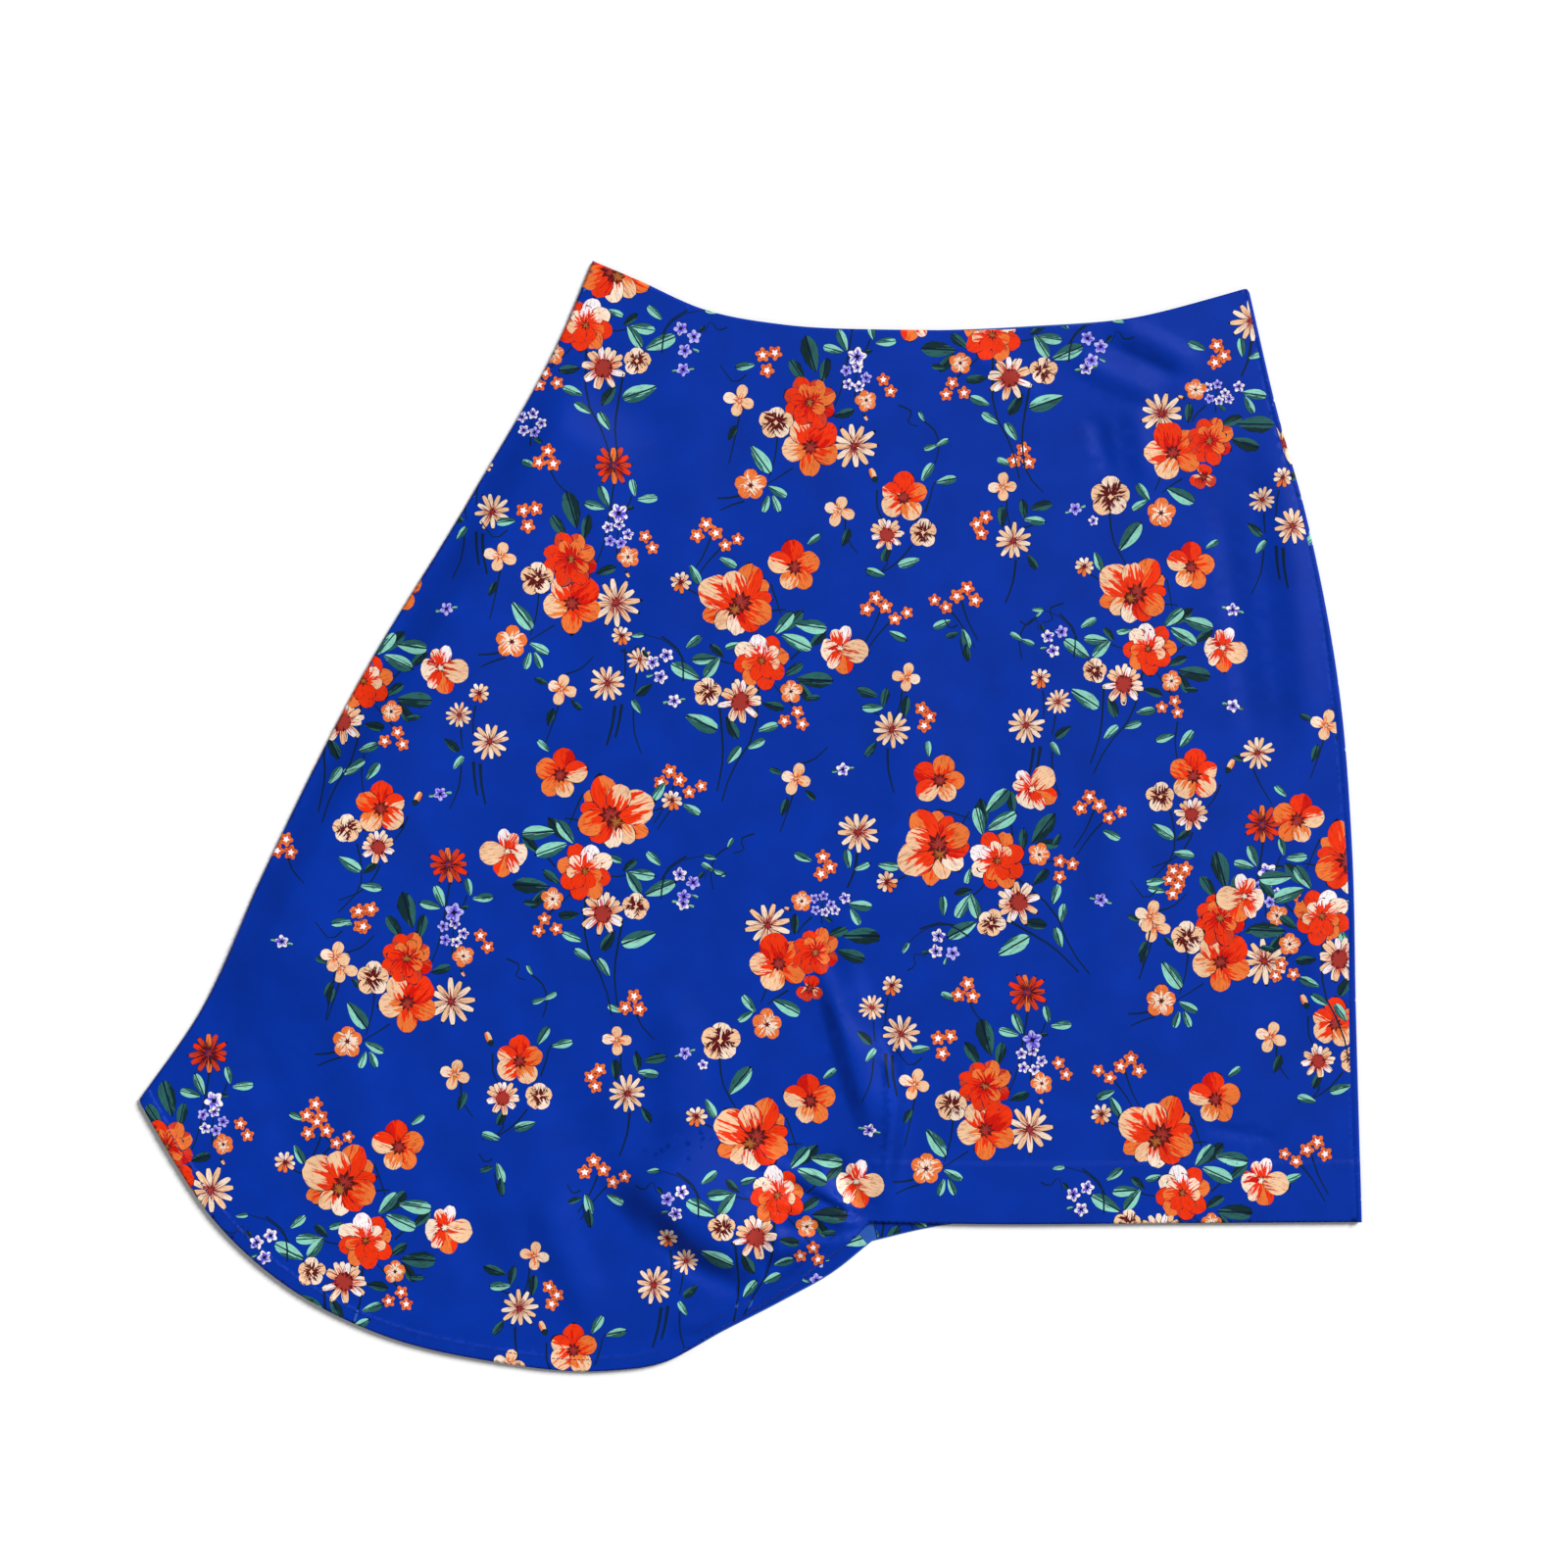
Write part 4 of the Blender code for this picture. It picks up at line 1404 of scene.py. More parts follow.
ORANGE_HEAD = Spray(
    stems=((0.9, ((2, -4), (6, -12), (14, -20))),),
    leaves=((-10, -3, 160, 10, Tone.MINT),),
    flowers=(
        (Motif.ORANGE_FLORET, -4, -2, 0, 0.95),
        (Motif.ORANGE_FLORET, 1, 5, 30, 0.95),
        (Motif.ORANGE_FLORET, 4.5, -2.5, 60, 0.95),
    ),
)
VIOLET_SPRAY = Spray((), (), ((Motif.VIOLET_HEAD, 0, 0, 0, 1),))
TINY_SPRAY = Spray((), (), ((Motif.VIOLET_SPRIG, 0, 0, 0, 1),))
LONE_DAISY = Spray(
    stems=((0.9, ((-3, -8), (2, -18), (10, -30))),),
    leaves=((-11, -4, 160, 8, Tone.MID),),
    flowers=((Motif.DAISY, 0, 0, 0, 0.72),),
)

# The print's sprays lean a little to the right of the cloth's length
PRINT_LEAN = -2.6
FIRST_SEED = 40


@dataclass(frozen=True)
class Strewn:
    """A spray laid at several places of the plan, all turned, sized and mirrored alike.

    Args:
        spray: the group that is repeated.
        spots: where its origin lies each time, in mm.
        mirror: whether it is turned over, left to right.
        turn: how far it is turned, in degrees.
        size: how far it is scaled.
    """

    spray: Spray
    spots: Spots
    mirror: bool = False
    turn: float = 0.0
    size: float = 1.0


LAYOUT: tuple[Strewn, ...] = (
    Strewn(
        ORANGE_HEAD,
        (
            (160.1, 212.0), (-120.6, 210.2), (-70.2, -111.6), (-276.1, -18.8),
            (-258.7, -175.4), (127.0, -104.1),
        ),
    ),
    Strewn(
        ORANGE_SPRIG,
        (
            (-25.5, 169.6), (74.8, 126.1), (201.3, 8.4), (-47.0, 23.5),
            (-92.2, -207.3), (-255.8, -184.1),
        ),
    ),
    Strewn(ORANGE_SPRIG, ((223.9, -146.4), (334.1, -195.8), (127.0, 131.9)), mirror=True),
    Strewn(VIOLET_SPRAY, ((-129.3, 232.3),)),
    Strewn(
        TINY_SPRAY,
        (
            (-40.0, 264.2), (198.4, 264.8), (-179.2, 122.1), (-45.2, 68.1),
            (54.5, 27.5), (-183.3, 13.0),
        ),
    ),
    Strewn(
        TINY_SPRAY,
        (
            (285.4, 122.1), (-40.0, -51.9), (-276.1, -73.9), (207.1, -49.6),
            (70.2, -185.9), (285.4, 65.2),
        ),
        mirror=True,
    ),
    Strewn(CURLS, ((100.9, 230.5), (-131.1, -97.1))),
    Strewn(CURLS, ((-12.2, -21.8), (170.5, 114.5)), mirror=True),
    Strewn(LONE_LEAVES, ((124.1, 102.9), (-151.4, -213.1), (-99.2, -231.7), (347.4, -73.9))),
    Strewn(LONE_DAISY, ((299.9, 37.4),)),
    Strewn(PANSY_SPRAY, ((-18.0, -133.1), (212.9, 188.8))),
    Strewn(CREAM_SPRAY, ((-111.9, 75.1), (26.7, 21.8), (-241.3, -89.6), (340.5, 53.6), (239.0, -65.2))),
    Strewn(PAIR_SPRAY, ((89.3, -129.0), (-154.3, 43.8), (320.2, 171.4), (-152.5, 179.5))),
    Strewn(PAIR_SPRAY, ((-84.7, 78.6), (163.0, 53.6), (-57.4, -277.5)), mirror=True),
    Strewn(DAISY_SPRAY, ((155.4, 162.7), (-73.1, -164.4))),
    Strewn(DAISY_SPRAY, ((83.5, 50.8), (-136.9, -291.4)), mirror=True),
    Strewn(ANEMONE_SPRAY, ((90.5, 188.2), (-136.9, -145.3), (345.7, -123.2))),
    Strewn(TURNED_ANEMONE_SPRAY, ((-218.1, 4.3), (262.2, 23.5)), mirror=True),
    Strewn(ANEMONE_SPRAY, ((-105.0, -316.4),)),
    Strewn(
        DAHLIA_SPRAY,
        (
            (34.8, 244.5), (-106.1, 151.7), (-203.6, -84.4), (138.6, -159.8),
            (277.8, -60.6), (-345.7, -195.8),
        ),
    ),
    Strewn(TURNED_DAHLIA_SPRAY, ((271.4, 221.8), (38.3, -80.9))),
    Strewn(POPPY_SPRAY, ((-5.8, 126.1), (-240.1, -217.2), (3.5, -189.9), (243.0, -188.8), (-241.3, 114.0))),
    Strewn(POPPY_SPRAY, ((-82.9, 0.3), (-82.4, 323.3), (158.3, 317.5), (353.2, -26.4)), mirror=True),
    Strewn(POPPY_SPRAY, ((110.8, -17.1),), turn=55),
    Strewn(POPPY_SPRAY, ((228.5, 131.9),), turn=-8, size=0.93),
)


def printed(shift: tuple[float, float] = (0.0, 0.0), turn: float = 0.0) -> Paint:
    """The whole print, laid over a panel.

    Args:
        shift: how far the print is moved in the plan, in mm.
        turn: how far it is turned about the middle of the plan, in degrees.

    Returns:
        The painted shapes.
    """
    paint = Paint()
    places = [(strewn, spot) for strewn in LAYOUT for spot in strewn.spots]
    for number, (strewn, (x, y)) in enumerate(places):
        brush = Brush(paint, np.random.default_rng(FIRST_SEED + number)).at(*shift, turn)
        strewn.spray.draw(brush.at(x, y, strewn.turn + PRINT_LEAN, strewn.size, strewn.mirror))
    return paint


def add_node(
    tree: bpy.types.NodeTree, kind: str, settings: dict | None = None, links: dict | None = None
) -> bpy.types.Node:
    """Adds a node to a tree.

    Args:
        tree: the material's node tree.
        kind: the node's type name.
        settings: socket values by socket name or number, or node settings by attribute name.
        links: output sockets by the name or number of the input they feed.

    Returns:
        The new node.
    """
    node = tree.nodes.new(kind)
    values = {}
    for name, value in (settings or {}).items():
        if isinstance(name, int) or name in node.inputs:
            values[name] = value
        else:
            setattr(node, name, value)
    for name, value in values.items():
        node.inputs[name].default_value = value
    for name, socket in (links or {}).items():
        tree.links.new(socket, node.inputs[name])
    return node


@dataclass(frozen=True)
class PrintedSatin:
    """Polyester satin crepe, woven and printed: soft low sheen on strong, slightly uneven colour.

    Args:
        roughness: its twisted threads scatter the sheen.
        specular: polyester's, lowered until the blue stays as deep as the real one.
        crepe: spacing of the crepe's pebbling, 0.35 mm in the cloth, drawn at 0.9 mm to show.
        cloudy: size of the soft unevenness of the dye, in mm.
    """

    roughness: float = 0.5
    specular: float = 0.08
    crepe: float = 0.9
    cloudy: float = 26.0

    def make(self) -> bpy.types.Material:
        """The material: it draws each painted shape from the spot, wash and make on the mesh."""
        made = bpy.data.materials.new("printed_polyester_satin_crepe")
        made.use_nodes = True
        tree = made.node_tree
        shader = tree.nodes["Principled BSDF"]
        ink = add_node(tree, "ShaderNodeAttribute", {"attribute_name": "print_ink"})
        second = add_node(tree, "ShaderNodeAttribute", {"attribute_name": "print_second"})
        reads = {}
        for name in ("print_spot", "print_wash", "print_make"):
            read = add_node(tree, "ShaderNodeAttribute", {"attribute_name": name})
            reads[name] = add_node(tree, "ShaderNodeSeparateXYZ", {}, {0: read.outputs["Vector"]}).outputs
        x, y, seed = (reads["print_spot"][axis] for axis in "XYZ")
        along, across, level = (reads["print_wash"][axis] for axis in "XYZ")
        line, is_round, rib = (reads["print_make"][axis] for axis in "XYZ")
        # Streaks run along a petal, and out from the middle of a round shape
        flat = add_node(tree, "ShaderNodeCombineXYZ", {}, {0: x, 1: y}).outputs[0]
        radius = add_node(tree, "ShaderNodeVectorMath", {"operation": "LENGTH"}, {0: flat}).outputs["Value"]
        ray = add_node(tree, "ShaderNodeVectorMath", {"operation": "NORMALIZE"}, {0: flat}).outputs[0]
        lift = add_node(tree, "ShaderNodeCombineXYZ", {}, {2: seed}).outputs[0]
        on_petal = add_node(
            tree, "ShaderNodeVectorMath", {"operation": "MULTIPLY_ADD", 1: (0.9, 2.6, 0)}, {0: flat, 2: lift}
        )
        on_round = add_node(
            tree, "ShaderNodeVectorMath", {"operation": "MULTIPLY_ADD", 1: (2.4, 2.4, 0)}, {0: ray, 2: lift}
        )
        where = add_node(
            tree, "ShaderNodeMix", {"data_type": "VECTOR"}, {0: is_round, 4: on_petal.outputs[0], 5: on_round.outputs[0]}
        ).outputs[1]
        streak = add_node(
            tree, "ShaderNodeTexNoise", {"Scale": 1.5, "Detail": 3.0, "Roughness": 0.65}, {"Vector": where}
        )
        reach = add_node(tree, "ShaderNodeMix", {}, {0: is_round, 2: x, 3: radius}).outputs[0]
        field_x = add_node(tree, "ShaderNodeMath", {"operation": "MULTIPLY_ADD"}, {0: along, 1: reach, 2: level})
        field_y = add_node(
            tree, "ShaderNodeMath", {"operation": "MULTIPLY_ADD"}, {0: across, 1: y, 2: field_x.outputs[0]}
        )
        rough = add_node(tree, "ShaderNodeMath", {"operation": "MULTIPLY_ADD", 1: 2.6, 2: -1.3}, {0: streak.outputs[0]})
        border = add_node(tree, "ShaderNodeMath", {"operation": "ADD"}, {0: field_y.outputs[0], 1: rough.outputs[0]})
        washed = add_node(
            tree, "ShaderNodeMapRange", {"From Min": -0.05, "From Max": 0.05}, {"Value": border.outputs[0]}
        )
        two_inks = add_node(
            tree,
            "ShaderNodeMix",
            {"data_type": "RGBA"},
            {0: washed.outputs[0], 6: ink.outputs["Color"], 7: second.outputs["Color"]},
        )
        # Fine darker veins, only on shapes that have a line round them
        fine = add_node(tree, "ShaderNodeTexNoise", {"Scale": 4.6, "Detail": 2.0, "Roughness": 0.6}, {"Vector": where})
        has_line = add_node(tree, "ShaderNodeMath", {"operation": "GREATER_THAN", 1: 0.0}, {0: line})
        vein = add_node(
            tree, "ShaderNodeMapRange", {"From Min": 0.55, "From Max": 0.62, "To Max": 0.75}, {"Value": fine.outputs[0]}
        )
        veined = add_node(
            tree, "ShaderNodeMath", {"operation": "MULTIPLY"}, {0: vein.outputs[0], 1: has_line.outputs[0]}
        )
        inked = add_node(
            tree,
            "ShaderNodeMix",
            {"data_type": "RGBA", "blend_type": "MULTIPLY", 7: (0.62, 0.3, 0.26, 1)},
            {0: veined.outputs[0], 6: two_inks.outputs[2]},
        )
        # The dark line: |Y| over the petal's half width there, its tip, or a lobe's radius
        bent = add_node(tree, "ShaderNodeMath", {"operation": "POWER", 1: 1.35}, {0: x})
        turn = add_node(tree, "ShaderNodeMath", {"operation": "MULTIPLY", 1: math.pi}, {0: bent.outputs[0]})
        wave = add_node(tree, "ShaderNodeMath", {"operation": "SINE"}, {0: turn.outputs[0]})
        above = add_node(tree, "ShaderNodeMath", {"operation": "MAXIMUM", 1: 0.001}, {0: wave.outputs[0]})
        half = add_node(tree, "ShaderNodeMath", {"operation": "POWER", 1: 0.55}, {0: above.outputs[0]})
        off = add_node(tree, "ShaderNodeMath", {"operation": "ABSOLUTE"}, {0: y}).outputs[0]
        to_side = add_node(tree, "ShaderNodeMath", {"operation": "DIVIDE"}, {0: off, 1: half.outputs[0]})
        to_tip = add_node(tree, "ShaderNodeMath", {"operation": "MULTIPLY_ADD", 1: 2.86, 2: -1.86}, {0: x})
        on_edge = add_node(
            tree, "ShaderNodeMath", {"operation": "MAXIMUM"}, {0: to_side.outputs[0], 1: to_tip.outputs[0]}
        )
        angle = add_node(tree, "ShaderNodeMath", {"operation": "ARCTAN2"}, {0: y, 1: x})
        five = add_node(tree, "ShaderNodeMath", {"operation": "MULTIPLY", 1: 5.0}, {0: angle.outputs[0]})
        lobe = add_node(tree, "ShaderNodeMath", {"operation": "COSINE"}, {0: five.outputs[0]})
        rim = add_node(tree, "ShaderNodeMath", {"operation": "MULTIPLY_ADD", 1: 0.16, 2: 0.84}, {0: lobe.outputs[0]})
        to_rim = add_node(tree, "ShaderNodeMath", {"operation": "DIVIDE"}, {0: radius, 1: rim.outputs[0]})
        edge = add_node(tree, "ShaderNodeMix", {}, {0: is_round, 2: on_edge.outputs[0], 3: to_rim.outputs[0]})
        into = add_node(tree, "ShaderNodeMath", {"operation": "ADD"}, {0: edge.outputs[0], 1: line})
        lined = add_node(tree, "ShaderNodeMapRange", {"From Min": 0.97, "From Max": 1.03}, {"Value": into.outputs[0]})
        lined_only = add_node(
            tree, "ShaderNodeMath", {"operation": "MULTIPLY"}, {0: lined.outputs[0], 1: has_line.outputs[0]}
        )
        mid_rib = add_node(
            tree, "ShaderNodeMapRange", {"From Min": 0.05, "From Max": 0.13, "To Min": 1.0, "To Max": 0.0}, {"Value": off}
        )
        ribbed = add_node(tree, "ShaderNodeMath", {"operation": "MULTIPLY"}, {0: mid_rib.outputs[0], 1: rib})
        dark = add_node(
            tree, "ShaderNodeMath", {"operation": "MAXIMUM"}, {0: lined_only.outputs[0], 1: ribbed.outputs[0]}
        )
        drawn = add_node(
            tree, "ShaderNodeMix", {"data_type": "RGBA", 7: linear(Ink.LINE.value)}, {0: dark.outputs[0], 6: inked.outputs[2]}
        )
        # The dye lies a little unevenly, over areas of a few centimetres
        place = add_node(tree, "ShaderNodeTexCoord").outputs["Object"]
        cloud = add_node(
            tree, "ShaderNodeTexNoise", {"Scale": 1 / (self.cloudy * MM), "Detail": 3.0}, {"Vector": place}
        )
        shade = add_node(
            tree, "ShaderNodeMapRange", {"From Min": 0.3, "From Max": 0.7, "To Min": 0.9, "To Max": 1.08}, {"Value": cloud.outputs[0]}
        )
        tone = add_node(
            tree, "ShaderNodeVectorMath", {"operation": "SCALE"}, {0: drawn.outputs[2], "Scale": shade.outputs[0]}
        )
        tree.links.new(tone.outputs[0], shader.inputs["Base Color"])
        # The pebbled face of the crepe breaks up the sheen
        pebble = add_node(
            tree, "ShaderNodeTexNoise", {"Scale": 1 / (self.crepe * MM), "Detail": 2.0, "Roughness": 0.7}, {"Vector": place}
        )
        bump = add_node(
            tree, "ShaderNodeBump", {"Strength": 0.22, "Distance": 0.12 * MM}, {"Height": pebble.outputs[0]}
        )
        tree.links.new(bump.outputs[0], shader.inputs["Normal"])
        gloss = add_node(
            tree,
            "ShaderNodeMapRange",
            {"From Min": 0.3, "From Max": 0.7, "To Min": self.roughness - 0.06, "To Max": self.roughness + 0.08},
            {"Value": pebble.outputs[0]},
        )
        tree.links.new(gloss.outputs[0], shader.inputs["Roughness"])
        shader.inputs["Specular IOR Level"].default_value = self.specular
        return made


@dataclass(frozen=True)
class PlainInside:
    """The unprinted wrong side of the same crepe: matt, the ground's blue showing through.

    Args:
        colour: the muted blue of the wrong side.
        shadow: the darker blue between its threads, painted shade.
        weave: spacing of the threads, 0.25 mm in the cloth, drawn at 0.8 mm to show.
    """

    colour: str = "#2a5cb8"
    shadow: str = "#204a98"
    weave: float = 0.8

    def make(self) -> bpy.types.Material:
        """The material, a blue broken by its weave, with painted shade between its threads."""
        made = bpy.data.materials.new("satin_crepe_wrong_side")
        made.use_nodes = True
        tree = made.node_tree
        place = add_node(tree, "ShaderNodeTexCoord").outputs["Object"]
        threads = add_node(
            tree, "ShaderNodeTexNoise", {"Scale": 1 / (self.weave * MM), "Detail": 2.0}, {"Vector": place}
        )
        # Painted shade: noise mixes the blue towards the darker shadow blue, as between the threads
        blue = add_node(
            tree,
            "ShaderNodeMix",
            {"data_type": "RGBA", 6: linear(self.shadow), 7: linear(self.colour)},
            {0: threads.outputs[0]},
        )
        bump = add_node(tree, "ShaderNodeBump", {"Strength": 0.2, "Distance": 0.1 * MM}, {"Height": threads.outputs[0]})
        shader = tree.nodes["Principled BSDF"]
        tree.links.new(blue.outputs[2], shader.inputs["Base Color"])
        tree.links.new(bump.outputs[0], shader.inputs["Normal"])
        shader.inputs["Roughness"].default_value = 0.75
        shader.inputs["Specular IOR Level"].default_value = 0.2
        return made


@dataclass(frozen=True)
class SewingThread:
    """Spun polyester thread in a darker blue than the cloth, its twist drawn as fine bands of painted shade.

    Args:
        colour: the thread's blue.
        twist: spacing of the twist, 0.5 mm.
    """

    colour: str = "#0a2f86"
    twist: float = 0.5

    def make(self) -> bpy.types.Material:
        """The material, with painted shade: darker in the furrows of the twist."""
        made = bpy.data.materials.new("spun_polyester_thread")
        made.use_nodes = True
        tree = made.node_tree
        place = add_node(tree, "ShaderNodeTexCoord").outputs["Object"]
        # Painted shade: noise mixes the thread's blue towards a darker blue, standing in for the furrows of the twist
        furrow_shade = add_node(tree, "ShaderNodeTexNoise", {"Scale": 1 / (self.twist * MM), "Detail": 1.0}, {"Vector": place})
        shade = add_node(
            tree,
            "ShaderNodeMix",
            {"data_type": "RGBA", 6: linear("#061d55"), 7: linear(self.colour)},
            {0: furrow_shade.outputs[0]},
        )
        shader = tree.nodes["Principled BSDF"]
        tree.links.new(shade.outputs[2], shader.inputs["Base Color"])
        shader.inputs["Roughness"].default_value = 0.7
        shader.inputs["Specular IOR Level"].default_value = 0.2
        return made


@dataclass
class ClothPiece:
    """One cut piece as a closed, thin shell: its printed face, its wrong side and the cut edge.

    Args:
        name: the piece's name.
        node: the CAD node that it stands for.
        outline: its flat outline, counter-clockwise.
        face: the map from flat to the laid outer face.
        paint: the print on its outer face.
        extra: points inside the outline for the outer face to bend at.
        inner_extra: the same for the wrong side.
        cut: the width and length of the flat piece, in mm; not used.
        area: its flat area in square mm; not used.
        on: the pieces that it lies on; not used.
        riders: what is fixed to it; not used.
    """

    name: str
    node: str
    outline: Array
    face: object
    paint: Paint
    extra: Array
    inner_extra: Array
    cut: tuple[float, float]
    area: float
    on: tuple[str, ...]
    riders: tuple[str, ...] = ()

    def build(self, finishes: Sequence[bpy.types.Material]) -> bpy.types.Object:
        """Makes the shell, dresses it and puts it on the frame.

        Args:
            finishes: the printed face's material and the wrong side's.

        Returns:
            The finished object.
        """
        outer = triangulate(self.outline, self.paint.shapes, self.extra[inside_ring(self.extra, self.outline)])
        ring = outer.places[outer.ring]
        loose = self.inner_extra[inside_ring(self.inner_extra, ring)]
        inner = triangulate(ring, (), loose)
        outer_at = self.face.place(outer.places)
        outer_normal = face_normals(self.face, outer.places)
        inner_normal = face_normals(self.face, inner.places)
        inner_at = self.face.place(inner.places) - CLOTH_WALL * inner_normal
        start = len(outer_at)
        rim_out, rim_in = self.matched(outer, inner, start)
        wound = 1 if self.face.faces_up else -1
        follow_out, follow_in = np.roll(rim_out, -1), np.roll(rim_in, -1)
        rim = np.concatenate(
            [np.stack([rim_out, rim_in, follow_in], 1), np.stack([rim_out, follow_in, follow_out], 1)]
        )
        triangles = np.concatenate(
            [outer.triangles[:, ::wound], inner.triangles[:, ::-wound] + start, rim[:, ::wound]]
        )
        places = np.concatenate([outer_at, inner_at])
        normals = self.corner_normals(places, triangles, outer, inner, outer_normal, inner_normal, wound)
        mesh = bpy.data.meshes.new(self.name)
        mesh.vertices.add(len(places))
        mesh.vertices.foreach_set("co", (places * MM).ravel())
        mesh.loops.add(triangles.size)
        mesh.loops.foreach_set("vertex_index", triangles.ravel())
        mesh.polygons.add(len(triangles))
        mesh.polygons.foreach_set("loop_start", np.arange(0, triangles.size, 3))
        mesh.polygons.foreach_set("loop_total", np.full(len(triangles), 3))
        slots = np.zeros(len(triangles), np.int32)
        slots[len(outer.triangles) : len(outer.triangles) + len(inner.triangles)] = 1
        mesh.polygons.foreach_set("material_index", slots)
        self.paint_mesh(mesh, outer, triangles, len(outer.triangles), wound)
        mesh.update(calc_edges=True)
        mesh.validate()
        mesh.shade_smooth()
        mesh.normals_split_custom_set(normals.reshape(-1, 3).tolist())
        item = bpy.data.objects.new(self.name, mesh)
        bpy.context.scene.collection.objects.link(item)
        for finish in finishes:
            mesh.materials.append(finish)
        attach(item, "root")
        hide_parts(self.node)
        LOG.info("%s: %d triangles", self.name, len(triangles))
        return item

    def matched(self, outer: FlatMesh, inner: FlatMesh, start: int) -> tuple[Array, Array]:
        """The outer ring's vertices and the inner ones at the same flat places."""
        keys = np.round(inner.places, 4)
        lookup = {tuple(place): index for index, place in enumerate(keys.tolist())}
        same = [lookup[tuple(place)] for place in np.round(outer.places[outer.ring], 4).tolist()]
        return outer.ring, np.array(same) + start

    def corner_normals(
        self,
        places: Array,
        triangles: Array,
        outer: FlatMesh,
        inner: FlatMesh,
        outer_normal: Array,
        inner_normal: Array,
        wound: int,
    ) -> Array:
        """Normals at every triangle's corners: the face's own, and flat ones round the rim."""
        corners = places[triangles]
        flat = np.cross(corners[:, 1] - corners[:, 0], corners[:, 2] - corners[:, 0])
        flat /= np.maximum(np.linalg.norm(flat, axis=1), 1e-12)[:, None]
        out = np.repeat(flat[:, None, :], 3, axis=1)
        count_out, count_in = len(outer.triangles), len(inner.triangles)
        out[:count_out] = outer_normal[outer.triangles[:, ::wound]]
        out[count_out : count_out + count_in] = -inner_normal[inner.triangles[:, ::-wound]]
        return out

    def paint_mesh(self, mesh: bpy.types.Mesh, outer: FlatMesh, triangles: Array, count: int, wound: int) -> None:
        """Stores what the material draws the print from, at each corner of the outer face.

        Args:
            mesh: the mesh under way.
            outer: the flat outer face.
            triangles: all the mesh's triangles.
            count: how many of them are the outer face's.
            wound: 1 where they are wound as in the flat, -1 where they are turned.
        """
        dabs = self.paint.dabs
        on = outer.dabs
        corners = outer.places[outer.triangles[:, ::wound]]
        to_spot = np.array([dab.to_spot for dab in dabs])[on]
        spot = np.zeros((len(triangles), 3, 3))
        spot[:count, :, :2] = np.einsum("tij,tcj->tci", to_spot[:, :, :2], corners) + to_spot[:, None, :, 2]
        spot[:count, :, 2] = np.array([dab.seed for dab in dabs])[on][:, None]
        wash = np.zeros((len(triangles), 3))
        wash[:count] = np.array([(dab.wash.along, dab.wash.across, dab.wash.level) for dab in dabs])[on]
        make = np.zeros((len(triangles), 3))
        make[:count] = np.array([(dab.line, *dab.form.value[1:]) for dab in dabs])[on]
        for name, value in (("print_spot", spot), ("print_wash", np.repeat(wash, 3, 0)), ("print_make", np.repeat(make, 3, 0))):
            mesh.attributes.new(name, "FLOAT_VECTOR", "CORNER").data.foreach_set("vector", value.ravel())
        for name, inks in (("print_ink", [dab.ink for dab in dabs]), ("print_second", [dab.wash.ink for dab in dabs])):
            colour = np.zeros((len(triangles), 4))
            colour[:count] = np.array([linear(ink.value) for ink in inks])[on]
            mesh.attributes.new(name, "FLOAT_COLOR", "CORNER").data.foreach_set("color", np.repeat(colour, 3, 0).ravel())


def edge_rows(line: EdgeLine, insides: Sequence[float], step: float) -> Array:
    """Points in rows along an edge, at set distances inside it, so that its roll stays round."""
    at = np.concatenate([[0.0], np.cumsum(np.linalg.norm(np.diff(line.line, axis=0), axis=1))])
    where = np.linspace(0, at[-1], int(at[-1] / step))
    points = np.stack([np.interp(where, at, line.line[:, 0]), np.interp(where, at, line.line[:, 1])], axis=1)
    _, outward = line.reach(points[:, 0], points[:, 1])
    return np.concatenate([points - inside * outward for inside in insides])


def bend_points(relief: FrontRelief, low: Array, high: Array, steps: Sequence[tuple[float, float]]) -> Array:
    """Grid points, close together where the front bends.

    Args:
        relief: the front's heights.
        low: the lowest corner of the grid.
        high: its highest corner.
        steps: (spacing, bend) pairs; a grid is laid where the heights' second difference over
            2 mm is above its bend.

    Returns:
        The points of all the grids.
    """
    kept = []
    for step, bend in steps:
        points = flat_grid(low, high, step)
        x, y = points[:, 0], points[:, 1]
        here = relief.height(x, y)
        over = np.abs(relief.height(x + 2, y) + relief.height(x - 2, y) - 2 * here)
        over += np.abs(relief.height(x, y + 2) + relief.height(x, y - 2) - 2 * here)
        kept.append(points[over / 4 >= bend])
    return np.concatenate(kept)


def strip_ring(line: EdgeLine, near: float, far: float, low: float, high: float) -> Array:
    """The outline of a strip along an edge, between two distances inside it.

    Args:
        line: the edge that it follows.
        near: the distance of its outer edge inside the line.
        far: the distance of its inner edge inside the line.
        low: the lowest x that it reaches.
        high: the highest x that it reaches.

    Returns:
        The closed outline, counter-clockwise.
    """
    points = line.line[(line.line[:, 0] > low) & (line.line[:, 0] < high)]
    points = points[np.argsort(points[:, 0])]
    _, outward = line.reach(points[:, 0], points[:, 1])
    outer, inner = points - near * outward, points - far * outward
    below, above = (outer, inner) if line.edge is Edge.HEM else (inner, outer)
    return even_ring(np.concatenate([below, above[::-1]]), 4.0)


